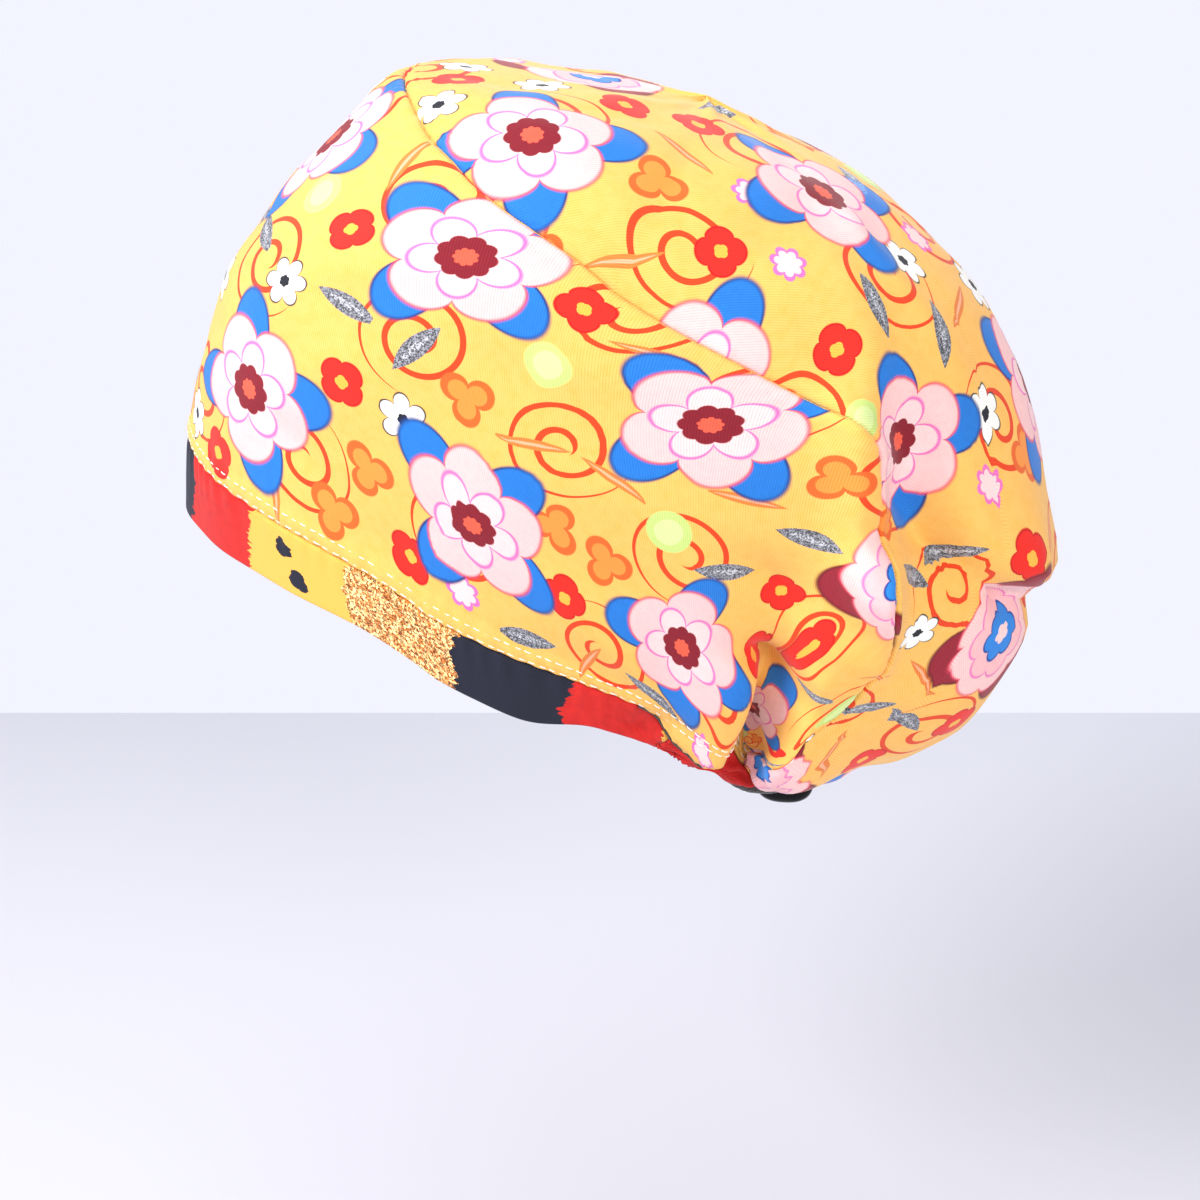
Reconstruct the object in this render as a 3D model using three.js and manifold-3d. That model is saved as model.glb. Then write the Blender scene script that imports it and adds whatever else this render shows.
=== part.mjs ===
// Bouffant scrub cap as it sits when worn: a contrast headband, a printed front panel, a full crown
// that hangs behind as a pouch, a gathered casing at the nape, and a drawcord with its lock.
// Millimetres, +Z up. The front of the cap faces -Y and +X is the wearer's left.
// The origin is the middle of the head opening, level with its edge at the sides.
import * as THREE from "three";
import { mergeVertices } from "three/addons/utils/BufferGeometryUtils.js";
import Module from "manifold-3d";

// Head opening: where its edge lies from the origin
const FRONT_REACH = 97;
const BACK_REACH = 93;
const OPENING_WIDTH = 152;
const FRONT_RISE = 34;
const SIDE_RISE = 1;
const BACK_DROP = 53;

// The bag of cloth above it
const CROWN_HEIGHT = 170;
const CAP_WIDTH = 190;
const POUCH_REACH = 182;
const POUCH_DROP = 58;
const CROWN_MIDDLE_REACH = 72;
const CROWN_MIDDLE_HEIGHT = 160;

// Cloth and joins
const BAND_HEIGHT = 27;
const BAND_WALL = 2;
const PANEL_WALL = 1.3;
const CROWN_WALL = 1.2;
const CASING_WALL = 2.6;
const SEAM_GAP = 0.6;
const BAND_END_GAP = 1.2;
const CASING_GAP = 1.5;

// Gathers where the drawcord pulls the nape together
const PLEAT_DEPTH = 4;
const PLEAT_COUNT = 20;
const PLEAT_FADE = 42;

// Drawcord and its lock
const CORD_DIAMETER = 2.4;
const LOCK_LENGTH = 20;
const LOCK_WIDTH = 13;
const LOCK_HEIGHT = 15;
const CORD_CLEARANCE = 0.35;
const LOCK_FULLNESS = 0.8;

// How finely each piece is faceted
const CAP_COLUMNS = 88;
const CROWN_ROWS = 18;
const PANEL_ROWS = 9;
const BAND_ROWS = 2;
const CORD_SIDES = 8;
const CORD_STEPS = 28;
const LOCK_SIDES = 20;

// Places on the cap are a turn (0 at the front, 0.25 at the left side, 0.5 at the back) and a level
// (0 on the opening's edge, 1 in the crown's middle). Each row is one hoop of the bag.
// front_y is a share of FRONT_REACH, side_y of POUCH_REACH. back_y goes from BACK_REACH to POUCH_REACH.
// front_z and side_z go from the opening's edge to CROWN_HEIGHT. back_z goes from the pouch's lowest
// point to CROWN_HEIGHT, and hang from BACK_DROP to POUCH_DROP. swell goes from the opening's width to
// the cap's, close draws a hoop in to the crown's middle, and round is the power of the side's bulge.
const HOOPS = [
  { level: 0.00, front_y: 1.00, front_z: 0.00, side_y: 0.00, side_z: 0.00, swell: 0.00, close: 1.00,
    back_y: 0.00, hang: 0, back_z: 0.00, round: 1.05 },
  { level: 0.10, front_y: 0.955, front_z: 0.18, side_y: 0.00, side_z: 0.17, swell: 0.20, close: 1.00,
    back_y: 0.19, hang: 1, back_z: 0.00, round: 1.03 },
  { level: 0.22, front_y: 0.87, front_z: 0.38, side_y: 0.07, side_z: 0.32, swell: 0.58, close: 1.00,
    back_y: 0.52, hang: 1, back_z: 0.03, round: 1.00 },
  { level: 0.36, front_y: 0.73, front_z: 0.59, side_y: 0.18, side_z: 0.50, swell: 0.95, close: 1.00,
    back_y: 0.84, hang: 1, back_z: 0.125, round: 0.95 },
  { level: 0.52, front_y: 0.48, front_z: 0.80, side_y: 0.29, side_z: 0.665, swell: 1.00, close: 1.00,
    back_y: 1.00, hang: 1, back_z: 0.35, round: 0.95 },
  { level: 0.68, front_y: 0.17, front_z: 0.99, side_y: 0.36, side_z: 0.805, swell: 1.00, close: 0.84,
    back_y: 0.85, hang: 1, back_z: 0.625, round: 1.02 },
  { level: 0.84, front_y: -0.22, front_z: 0.985, side_y: 0.395, side_z: 0.89, swell: 1.00, close: 0.53,
    back_y: 0.41, hang: 1, back_z: 0.825, round: 1.05 },
  { level: 1.00, front_y: -CROWN_MIDDLE_REACH / FRONT_REACH,
    front_z: (CROWN_MIDDLE_HEIGHT - FRONT_RISE) / (CROWN_HEIGHT - FRONT_RISE),
    side_y: CROWN_MIDDLE_REACH / POUCH_REACH,
    side_z: (CROWN_MIDDLE_HEIGHT - SIDE_RISE) / (CROWN_HEIGHT - SIDE_RISE),
    swell: 1.00, close: 0.00,
    back_y: (CROWN_MIDDLE_REACH - BACK_REACH) / (POUCH_REACH - BACK_REACH), hang: 1,
    back_z: (CROWN_MIDDLE_HEIGHT + POUCH_DROP) / (CROWN_HEIGHT + POUCH_DROP), round: 1.00 },
];

// The seam between the panel or casing below and the crown above, by its share of the way round
// from the front's middle to the back's. It dives into the pouch's side fold and runs to the gather.
const CROWN_SEAM = [
  { way: 0.00, turn: 0.000, level: 0.685 },
  { way: 0.14, turn: 0.100, level: 0.662 },
  { way: 0.25, turn: 0.170, level: 0.612 },
  { way: 0.33, turn: 0.215, level: 0.568 },
  { way: 0.42, turn: 0.270, level: 0.548 },
  { way: 0.51, turn: 0.325, level: 0.556 },
  { way: 0.56, turn: 0.354, level: 0.560 },
  { way: 0.62, turn: 0.368, level: 0.480 },
  { way: 0.69, turn: 0.384, level: 0.370 },
  { way: 0.76, turn: 0.396, level: 0.265 },
  { way: 0.81, turn: 0.405, level: 0.178 },
  { way: 0.85, turn: 0.413, level: 0.100 },
  { way: 0.88, turn: 0.427, level: 0.098 },
  { way: 1.00, turn: 0.500, level: 0.095 },
];

// The seam along the top of the headband: its height above the opening's edge, a share of BAND_HEIGHT.
const BAND_SEAM = [
  { turn: 0.00, height: 1.00 },
  { turn: 0.10, height: 0.92 },
  { turn: 0.20, height: 0.80 },
  { turn: 0.28, height: 0.66 },
  { turn: 0.335, height: 0.66 },
  { turn: 0.350, height: 0.60 },
  { turn: 0.368, height: 0.38 },
  { turn: 0.39, height: 0.32 },
  { turn: 0.42, height: 0.42 },
  { turn: 0.50, height: 0.50 },
];
// Where along the way the panel ends in the gather, and where the headband gives way to the casing.
const PANEL_END_WAY = 0.85;
const BAND_END_WAY = 0.75;

// Folds of the cloth, each along a line between two places on the cap. half_width, the rises and
// slide are shares of CROWN_HEIGHT. A rise stands out or dents in, and slide leans the fold over
// towards its right as it runs, so that it overhangs. from and to are [turn, level].
const FOLDS = [
  { name: "left ridge beside the pouch", from: [0.350, 0.560], to: [0.374, 0.430],
    half_width: 0.065, rise_from: 0.047, rise_to: 0.047, slide: 0.041 },
  { name: "left ridge fading to the nape", from: [0.374, 0.430], to: [0.398, 0.280],
    half_width: 0.071, rise_from: 0.029, rise_to: 0.006, slide: 0.012 },
  { name: "left valley behind the ridge", from: [0.372, 0.575], to: [0.382, 0.480],
    half_width: 0.071, rise_from: -0.065, rise_to: -0.053, slide: 0 },
  { name: "left ridge above the seam's pinch", from: [0.353, 0.560], to: [0.343, 0.710],
    half_width: 0.053, rise_from: 0.018, rise_to: 0.006, slide: 0 },
  { name: "upper lobe's lip, left", from: [0.385, 0.525], to: [0.440, 0.535],
    half_width: 0.076, rise_from: 0.018, rise_to: 0.026, slide: 0.018 },
  { name: "upper lobe's lip, back", from: [0.440, 0.535], to: [0.540, 0.520],
    half_width: 0.076, rise_from: 0.026, rise_to: 0.024, slide: 0.029 },
  { name: "upper lobe's lip, right", from: [0.540, 0.520], to: [0.610, 0.500],
    half_width: 0.076, rise_from: 0.024, rise_to: 0.012, slide: 0.018 },
  { name: "crease under the lip, left", from: [0.372, 0.480], to: [0.440, 0.496],
    half_width: 0.041, rise_from: -0.024, rise_to: -0.035, slide: 0 },
  { name: "crease under the lip, back", from: [0.440, 0.496], to: [0.540, 0.484],
    half_width: 0.041, rise_from: -0.035, rise_to: -0.029, slide: 0 },
  { name: "crease under the lip, right", from: [0.540, 0.484], to: [0.615, 0.460],
    half_width: 0.041, rise_from: -0.029, rise_to: -0.012, slide: 0 },
  { name: "left valley above the gather", from: [0.396, 0.105], to: [0.366, 0.250],
    half_width: 0.050, rise_from: -0.118, rise_to: -0.059, slide: 0 },
  { name: "left valley running up", from: [0.362, 0.265], to: [0.344, 0.345],
    half_width: 0.050, rise_from: -0.047, rise_to: -0.021, slide: 0 },
  { name: "left valley running out", from: [0.342, 0.360], to: [0.350, 0.430],
    half_width: 0.053, rise_from: -0.021, rise_to: 0, slide: 0 },
  { name: "left flap's rear edge", from: [0.382, 0.090], to: [0.350, 0.230],
    half_width: 0.053, rise_from: 0.038, rise_to: 0.018, slide: 0.029 },
  { name: "left lobe behind the valley", from: [0.392, 0.230], to: [0.368, 0.330],
    half_width: 0.053, rise_from: 0.029, rise_to: 0.024, slide: 0 },
  { name: "left dent in the lower lobe", from: [0.418, 0.300], to: [0.440, 0.200],
    half_width: 0.053, rise_from: -0.015, rise_to: -0.006, slide: 0 },
  { name: "left lobe hanging over the casing", from: [0.410, 0.205], to: [0.450, 0.170],
    half_width: 0.062, rise_from: 0.041, rise_to: 0.035, slide: 0.047 },
  { name: "left lobe leaning over the valley", from: [0.404, 0.250], to: [0.420, 0.140],
    half_width: 0.047, rise_from: 0.024, rise_to: 0.035, slide: 0.059 },
  { name: "right lobe hanging over the casing", from: [0.548, 0.190], to: [0.580, 0.205],
    half_width: 0.062, rise_from: 0.040, rise_to: 0.035, slide: 0.035 },
  { name: "left edge lifted beside the nape", from: [0.335, 0.000], to: [0.368, 0.000],
    half_width: 0.082, rise_from: 0, rise_to: 0, slide: -0.030 },
  { name: "left edge dipping behind the ear", from: [0.268, 0.000], to: [0.292, 0.000],
    half_width: 0.105, rise_from: 0, rise_to: 0, slide: 0.020 },
  { name: "left soft ridge on the crown", from: [0.366, 0.780], to: [0.400, 0.670],
    half_width: 0.053, rise_from: 0.015, rise_to: 0.006, slide: 0 },
  { name: "left soft dent near the band", from: [0.176, 0.186], to: [0.234, 0.113],
    half_width: 0.047, rise_from: -0.009, rise_to: -0.006, slide: 0 },
  { name: "left soft fold to the nape", from: [0.246, 0.245], to: [0.340, 0.150],
    half_width: 0.059, rise_from: 0.006, rise_to: 0.015, slide: 0 },
  { name: "right ridge beside the pouch", from: [0.642, 0.540], to: [0.616, 0.400],
    half_width: 0.071, rise_from: 0.041, rise_to: 0.029, slide: -0.029 },
  { name: "right valley behind the ridge", from: [0.622, 0.560], to: [0.612, 0.460],
    half_width: 0.071, rise_from: -0.047, rise_to: -0.035, slide: 0 },
  { name: "right valley above the gather", from: [0.628, 0.150], to: [0.655, 0.300],
    half_width: 0.065, rise_from: -0.100, rise_to: -0.035, slide: 0 },
  { name: "right flap's rear edge", from: [0.648, 0.130], to: [0.672, 0.280],
    half_width: 0.065, rise_from: 0.029, rise_to: 0.012, slide: -0.018 },
  { name: "right lobe behind the valley", from: [0.602, 0.140], to: [0.636, 0.300],
    half_width: 0.059, rise_from: 0.018, rise_to: 0.029, slide: 0 },
  { name: "right edge lifted beside the nape", from: [0.632, 0.000], to: [0.665, 0.000],
    half_width: 0.082, rise_from: 0, rise_to: 0, slide: -0.026 },
  { name: "right edge dipping behind the ear", from: [0.708, 0.000], to: [0.732, 0.000],
    half_width: 0.105, rise_from: 0, rise_to: 0, slide: 0.015 },
  { name: "right soft fold on the panel", from: [0.740, 0.300], to: [0.660, 0.180],
    half_width: 0.065, rise_from: 0.006, rise_to: 0.018, slide: 0 },
  { name: "right soft dent on the crown", from: [0.650, 0.700], to: [0.600, 0.600],
    half_width: 0.071, rise_from: -0.018, rise_to: -0.006, slide: 0 },
];

// The drawcord's route, chosen by hand: out of the casing left of the nape's middle, along under the
// pouch, through the lock and back into the casing on the right.
const CORD_POINTS = [
  [31.5, 86.5, -49], [31, 87.2, -50.4], [29.6, 88.4, -52], [27.2, 90, -54],
  [23.6, 92.2, -56.6], [18, 95.6, -59.6], [11, 99.2, -62.8], [4, 101.8, -65.2],
  [-3, 103.2, -66.2], [-10.4, 102.8, -66], [-17.6, 100.3, -64.6], [-23.8, 96.8, -61.9],
  [-28.2, 93.2, -59], [-31, 90.9, -55.8], [-32.4, 90.2, -52.8], [-32.8, 90.6, -50.1],
];
const LOCK_ALONG_CORD = 0.54;

// A smooth curve through one column of a table, with its slopes from each row's two neighbours.
function columnAt(table, key, column, at) {
  const last = table.length - 1;
  let row = 0;
  while (row < last - 1 && at >= table[row + 1][key]) row += 1;
  const slopeAt = (index) => {
    const before = table[Math.max(index - 1, 0)];
    const after = table[Math.min(index + 1, last)];
    return (after[column] - before[column]) / (after[key] - before[key]);
  };
  const start = table[row];
  const end = table[row + 1];
  const span = end[key] - start[key];
  const s = (at - start[key]) / span;
  return (2 * s ** 3 - 3 * s ** 2 + 1) * start[column]
    + (s ** 3 - 2 * s ** 2 + s) * span * slopeAt(row)
    + (3 * s ** 2 - 2 * s ** 3) * end[column]
    + (s ** 3 - s ** 2) * span * slopeAt(row + 1);
}

const mix = (from, to, share) => from + (to - from) * share;

// The bag before its folds: each hoop goes through its front, side and back points, blended by the
// turn's cosine and sine. The powers below 1 make the forehead's curve and its rise fuller.
const FOREHEAD_ROUND = 0.85;
const FOREHEAD_RISE = 0.7;
function bagPoint(turn, level) {
  const at = (column) => columnAt(HOOPS, "level", column, level);
  const cos = Math.cos(2 * Math.PI * turn);
  const sin = Math.sin(2 * Math.PI * turn);
  const shareOf = (value) => [(value * value + value) / 2, (value * value - value) / 2];
  const fuller = (power) => (cos > 0 ? cos ** power : cos);
  const [front, back] = shareOf(fuller(FOREHEAD_ROUND));
  const [frontRise, backRise] = shareOf(fuller(FOREHEAD_RISE));
  const side = 1 - fuller(FOREHEAD_ROUND) ** 2;
  const sideRise = 1 - fuller(FOREHEAD_RISE) ** 2;
  const halfWidth = mix(OPENING_WIDTH, CAP_WIDTH, at("swell")) / 2;
  const y = -front * at("front_y") * FRONT_REACH + side * at("side_y") * POUCH_REACH
    + back * mix(BACK_REACH, POUCH_REACH, at("back_y"));
  const z = frontRise * mix(FRONT_RISE, CROWN_HEIGHT, at("front_z"))
    + sideRise * mix(SIDE_RISE, CROWN_HEIGHT, at("side_z"))
    + backRise * (-mix(BACK_DROP, POUCH_DROP, at("hang")) + (CROWN_HEIGHT + POUCH_DROP) * at("back_z"));
  const x = halfWidth * at("close") * Math.sign(sin) * Math.abs(sin) ** at("round");
  return new THREE.Vector3(x, y, z);
}

// Directions round, up and out of a surface at one place, from points a small step away.
const STEP = 0.002;
function directionsAt(surface, turn, level) {
  const inside = Math.min(level, 1 - 2 * STEP);
  const up = surface(turn, inside + STEP).sub(surface(turn, Math.max(inside - STEP, 0))).normalize();
  const round = surface(turn + STEP, inside).sub(surface(turn - STEP, inside)).normalize();
  const out = new THREE.Vector3().crossVectors(round, up).normalize();
  return { round, up, out };
}

// Flat size of the cloth that the folds' distances are measured on: once round, and edge to middle.
const MAP_AROUND = Math.PI * (FRONT_REACH + BACK_REACH + CAP_WIDTH) / 2;
const MAP_UP = 1.95 * CROWN_HEIGHT;

// The gathers: small pleats across the nape. They start flat at the opening's edge, are deepest along
// the casing's top, fade up the cloth, and die out towards the sides.
const PLEAT_SPREAD_TURN = 0.13;
const PLEAT_START_LEVEL = 0.05;
function pleatAt(turn, level) {
  const fromBack = Math.abs(turn - Math.round(turn - 0.5) - 0.5);
  const near = Math.exp(-((fromBack / PLEAT_SPREAD_TURN) ** 4));
  const height = Math.max(level - PLEAT_START_LEVEL, 0) * MAP_UP;
  const starts = 1 - Math.exp(-((level / PLEAT_START_LEVEL) ** 2));
  const fades = Math.exp(-((height / PLEAT_FADE) ** 2));
  return -PLEAT_DEPTH * near * starts * fades * Math.cos(2 * Math.PI * PLEAT_COUNT * fromBack);
}

function capPoint(turn, level) {
  const point = bagPoint(turn, level);
  const { round, up, out } = directionsAt(bagPoint, turn, level);
  point.addScaledVector(out, pleatAt(turn, level));
  for (const fold of FOLDS) {
    const around = (turn - fold.from[0] - Math.round(turn - fold.from[0])) * MAP_AROUND;
    const rising = (level - fold.from[1]) * MAP_UP;
    const line = new THREE.Vector2((fold.to[0] - fold.from[0]) * MAP_AROUND,
      (fold.to[1] - fold.from[1]) * MAP_UP);
    const length = line.length();
    line.normalize();
    const along = around * line.x + rising * line.y;
    const across = around * line.y - rising * line.x;
    const share = THREE.MathUtils.clamp(along / length, 0, 1);
    const beyond = along - share * length;
    const halfWidth = fold.half_width * CROWN_HEIGHT;
    const fade = Math.exp(-(across ** 2 + beyond ** 2) / halfWidth ** 2);
    const rise = mix(fold.rise_from, fold.rise_to, share) * CROWN_HEIGHT;
    const slide = fold.slide * CROWN_HEIGHT * fade;
    point.addScaledVector(out, rise * fade);
    point.addScaledVector(round, line.y * slide);
    point.addScaledVector(up, -line.x * slide);
  }
  return point;
}

// A place on a seam, moved off it by a distance across the seam on the flat map of the cloth.
// A positive distance lies above a seam that runs from the front to the back.
function seamPlace(way, offset) {
  const half = way < 0 ? -1 : 1;
  const share = Math.abs(way);
  const at = (column, w) => columnAt(CROWN_SEAM, "way", column, THREE.MathUtils.clamp(w, 0, 1));
  const before = Math.max(share - STEP, 0);
  const after = Math.min(share + STEP, 1);
  const tangent = new THREE.Vector2((at("turn", after) - at("turn", before)) * MAP_AROUND,
    (at("level", after) - at("level", before)) * MAP_UP).normalize();
  const turn = at("turn", share) - tangent.y * offset / MAP_AROUND;
  const level = at("level", share) + tangent.x * offset / MAP_UP;
  return { turn: half * turn, level };
}

// The level at a given height of cloth above the opening's edge.
const PROBE_LEVEL = 0.05;
function levelAtHeight(turn, height) {
  return PROBE_LEVEL * height / bagPoint(turn, PROBE_LEVEL).distanceTo(bagPoint(turn, 0));
}

function bandTop(turn) {
  const away = Math.abs(turn - Math.round(turn));
  return levelAtHeight(turn, columnAt(BAND_SEAM, "turn", "height", away) * BAND_HEIGHT);
}

// The turn at which a column of the cloth meets the headband's seam: the panel's columns spread evenly
// along the band, and past the panel's end each column stands on the casing where the crown's edge is.
function turnOnBand(way) {
  const end = seamPlace(PANEL_END_WAY, 0).turn;
  if (Math.abs(way) > PANEL_END_WAY) return seamPlace(way, 0).turn;
  return end * way / PANEL_END_WAY;
}

// A closed wall of cloth: columns of places, the outer face, the inner face a wall's thickness in from
// it, and the edges between them. A ring closes on itself, and a dome ends in one point on top.
function clothWall({ ways, placeAt, rows, thickness, ring = false, dome = false }) {
  const positions = [];
  const indices = [];
  const up = dome ? rows : rows + 1;
  const add = (point) => positions.push(point.x, point.y, point.z) / 3 - 1;
  const faces = [0, thickness].map((depth) => ways.map((way) => {
    const column = [];
    for (let j = 0; j < up; j += 1) {
      const { turn, level } = placeAt(way, j / rows);
      const { out } = directionsAt(capPoint, turn, level);
      column.push(add(capPoint(turn, level).addScaledVector(out, -depth)));
    }
    return column;
  }));
  const [outer, inner] = faces;
  const [outerTop, innerTop] = dome
    ? [0, thickness].map((depth) => add(
      capPoint(0, 1).addScaledVector(directionsAt(capPoint, 0, 1).out, -depth)))
    : [];
  const pointAt = (index) => new THREE.Vector3().fromArray(positions, 3 * index);
  const span = (a, b) => pointAt(a).distanceTo(pointAt(b));
  const quad = (a, b, c, d) => {
    if (span(a, c) <= span(b, d)) indices.push(a, b, c, a, c, d);
    else indices.push(a, b, d, b, c, d);
  };
  const columns = ring ? ways.length : ways.length - 1;
  for (let i = 0; i < columns; i += 1) {
    const next = (i + 1) % ways.length;
    for (let j = 0; j < up - 1; j += 1) {
      quad(outer[i][j], outer[next][j], outer[next][j + 1], outer[i][j + 1]);
      quad(inner[i][j], inner[i][j + 1], inner[next][j + 1], inner[next][j]);
    }
    quad(outer[next][0], outer[i][0], inner[i][0], inner[next][0]);
    if (dome) {
      indices.push(outer[i][up - 1], outer[next][up - 1], outerTop);
      indices.push(inner[next][up - 1], inner[i][up - 1], innerTop);
    } else {
      quad(outer[i][up - 1], outer[next][up - 1], inner[next][up - 1], inner[i][up - 1]);
    }
  }
  if (!ring) {
    const end = ways.length - 1;
    for (let j = 0; j < up - 1; j += 1) {
      quad(outer[0][j], outer[0][j + 1], inner[0][j + 1], inner[0][j]);
      quad(outer[end][j + 1], outer[end][j], inner[end][j], inner[end][j + 1]);
    }
  }
  const geometry = new THREE.BufferGeometry();
  geometry.setAttribute("position", new THREE.Float32BufferAttribute(positions, 3));
  geometry.setIndex(indices);
  return geometry;
}

// The columns that every piece of cloth shares, so that both sides of a seam bend alike.
const capWays = Array.from({ length: CAP_COLUMNS }, (_, i) => (2 * i) / CAP_COLUMNS - 1);
const waysUpTo = (end) => [-end, ...capWays.filter((way) => Math.abs(way) < end - STEP), end];
const halfGapLevel = SEAM_GAP / 2 / MAP_UP;

// Headband: two layers of contrast cotton round the front and sides.
function headband() {
  return clothWall({
    ways: waysUpTo(BAND_END_WAY),
    rows: BAND_ROWS,
    thickness: BAND_WALL,
    placeAt: (way, v) => {
      const turn = turnOnBand(way);
      return { turn, level: v * (bandTop(turn) - halfGapLevel) };
    },
  });
}

// Gathered casing at the nape: the tunnel that the drawcord runs in.
function backCasing() {
  const start = BAND_END_WAY + BAND_END_GAP / MAP_AROUND / (turnOnBand(1) - turnOnBand(0));
  const beyond = capWays.filter((way) => Math.abs(way) > start + STEP);
  const fromLeft = beyond.filter((way) => way > 0);
  const toRight = beyond.filter((way) => way < 0).map((way) => way + 2);
  return clothWall({
    ways: [start, ...fromLeft, ...toRight, 2 - start],
    rows: BAND_ROWS,
    thickness: CASING_WALL,
    placeAt: (way, v) => {
      const turn = way > 1 ? 1 + turnOnBand(way - 2) : turnOnBand(way);
      return { turn, level: v * (bandTop(turn) - CASING_GAP / MAP_UP) };
    },
  });
}

// Front panel: from the headband's seam up to the crown's seam, and out of sight in the side folds.
function frontPanel() {
  return clothWall({
    ways: waysUpTo(PANEL_END_WAY),
    rows: PANEL_ROWS,
    thickness: PANEL_WALL,
    placeAt: (way, v) => {
      const top = seamPlace(way, -SEAM_GAP / 2);
      const turn = mix(turnOnBand(way), top.turn, v);
      return { turn, level: mix(bandTop(turnOnBand(way)) + halfGapLevel, top.level, v) };
    },
  });
}

// Crown: the full top piece, gathered at the nape into the casing.
function crown() {
  return clothWall({
    ways: capWays,
    rows: CROWN_ROWS,
    thickness: CROWN_WALL,
    ring: true,
    dome: true,
    placeAt: (way, v) => {
      const edge = seamPlace(way, SEAM_GAP / 2);
      const low = Math.abs(way) > PANEL_END_WAY ? bandTop(edge.turn) + halfGapLevel : edge.level;
      return { turn: edge.turn, level: mix(low, 1, v) };
    },
  });
}

const cordCurve = new THREE.CatmullRomCurve3(CORD_POINTS.map(([x, y, z]) => new THREE.Vector3(x, y, z)),
  false, "centripetal");

function cordTube(diameter, curve, steps, sides) {
  const section = new THREE.Shape();
  for (let i = 0; i < sides; i += 1) {
    const angle = 2 * Math.PI * i / sides;
    const point = [diameter / 2 * Math.cos(angle), diameter / 2 * Math.sin(angle)];
    if (i === 0) section.moveTo(...point);
    else section.lineTo(...point);
  }
  section.closePath();
  return new THREE.ExtrudeGeometry(section, { steps, extrudePath: curve, curveSegments: 1 });
}

const wasm = await Module();
wasm.setup();

function toSolid(geometry) {
  const plain = geometry.clone();
  plain.deleteAttribute("normal");
  plain.deleteAttribute("uv");
  const merged = mergeVertices(plain, 1e-4);
  return new wasm.Manifold(new wasm.Mesh({
    numProp: 3,
    vertProperties: new Float32Array(merged.attributes.position.array),
    triVerts: new Uint32Array(merged.index.array),
  }));
}

function fromSolid(solid) {
  const mesh = solid.getMesh();
  const geometry = new THREE.BufferGeometry();
  geometry.setAttribute("position", new THREE.Float32BufferAttribute(mesh.vertProperties, 3));
  geometry.setIndex(Array.from(mesh.triVerts));
  return geometry;
}

// Cord lock: a rounded bean with a bore along the cord, carried by the cord it grips.
function cordLock() {
  const centre = cordCurve.getPointAt(LOCK_ALONG_CORD);
  const bean = new THREE.SphereGeometry(0.5, LOCK_SIDES, LOCK_SIDES / 2);
  const place = bean.attributes.position;
  for (let i = 0; i < place.count; i += 1) {
    const corner = new THREE.Vector3().fromBufferAttribute(place, i);
    const swell = (value) => Math.sign(value) * Math.abs(2 * value) ** LOCK_FULLNESS / 2;
    place.setXYZ(i, swell(corner.x) * LOCK_WIDTH, swell(corner.y) * LOCK_LENGTH,
      swell(corner.z) * LOCK_HEIGHT);
  }
  bean.translate(centre.x, centre.y, centre.z);
  const bore = cordTube(CORD_DIAMETER + 2 * CORD_CLEARANCE, cordCurve, CORD_STEPS, CORD_SIDES);
  return fromSolid(toSolid(bean).subtract(toSolid(bore)));
}

const printedCotton = new THREE.MeshStandardMaterial({ color: 0xf2bd45, roughness: 0.85, metalness: 0 });
const panelCotton = new THREE.MeshStandardMaterial({ color: 0xf0b83e, roughness: 0.85, metalness: 0 });
const bandCotton = new THREE.MeshStandardMaterial({ color: 0xcf2f2c, roughness: 0.8, metalness: 0 });
const casingCotton = new THREE.MeshStandardMaterial({ color: 0xc62b2a, roughness: 0.8, metalness: 0 });
const blackElastic = new THREE.MeshStandardMaterial({ color: 0x151517, roughness: 0.7, metalness: 0 });
const blackPlastic = new THREE.MeshStandardMaterial({ color: 0x0b0b0d, roughness: 0.15, metalness: 0 });

const cap = new THREE.Group();
const pieces = [
  { name: "headband", geometry: headband(), material: bandCotton },
  { name: "back_casing", geometry: backCasing(), material: casingCotton },
  { name: "front_panel", geometry: frontPanel(), material: panelCotton },
  { name: "crown", geometry: crown(), material: printedCotton },
  { name: "drawcord", geometry: cordTube(CORD_DIAMETER, cordCurve, CORD_STEPS, CORD_SIDES),
    material: blackElastic },
  { name: "cord_lock", geometry: cordLock(), material: blackPlastic },
];
for (const { name, geometry, material } of pieces) {
  const mesh = new THREE.Mesh(geometry, material);
  mesh.name = name;
  cap.add(mesh);
}

export default cap;
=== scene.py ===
# Scrub cap: a bouffant theatre cap of printed cotton in the full form that it has when worn.
# Metres, +Z up. The front faces -Y and +X is the wearer's left.
import math
import bmesh
import bpy
import numpy as np
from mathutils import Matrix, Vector


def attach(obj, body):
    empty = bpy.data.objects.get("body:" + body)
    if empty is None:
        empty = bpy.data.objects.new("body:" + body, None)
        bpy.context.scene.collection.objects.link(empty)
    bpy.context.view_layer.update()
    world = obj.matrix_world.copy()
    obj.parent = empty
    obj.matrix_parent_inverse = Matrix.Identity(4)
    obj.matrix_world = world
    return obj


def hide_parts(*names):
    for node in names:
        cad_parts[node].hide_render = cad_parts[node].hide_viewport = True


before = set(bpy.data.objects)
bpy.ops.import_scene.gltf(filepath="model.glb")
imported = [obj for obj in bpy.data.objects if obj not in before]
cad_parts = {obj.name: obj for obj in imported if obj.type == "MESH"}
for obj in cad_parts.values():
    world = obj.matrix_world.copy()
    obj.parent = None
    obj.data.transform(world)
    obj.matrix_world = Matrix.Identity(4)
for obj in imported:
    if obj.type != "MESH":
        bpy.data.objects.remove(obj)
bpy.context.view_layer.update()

# Camera: beside the wearer's left ear, a little behind it and above it, looking down at the cap.
CAMERA_AZIMUTH = math.radians(98)
CAMERA_ELEVATION = math.radians(20)
CAMERA_DISTANCE = 0.600
CAMERA_AIM = Vector((0, 0.040, -0.002))
SENSOR = 36
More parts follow.
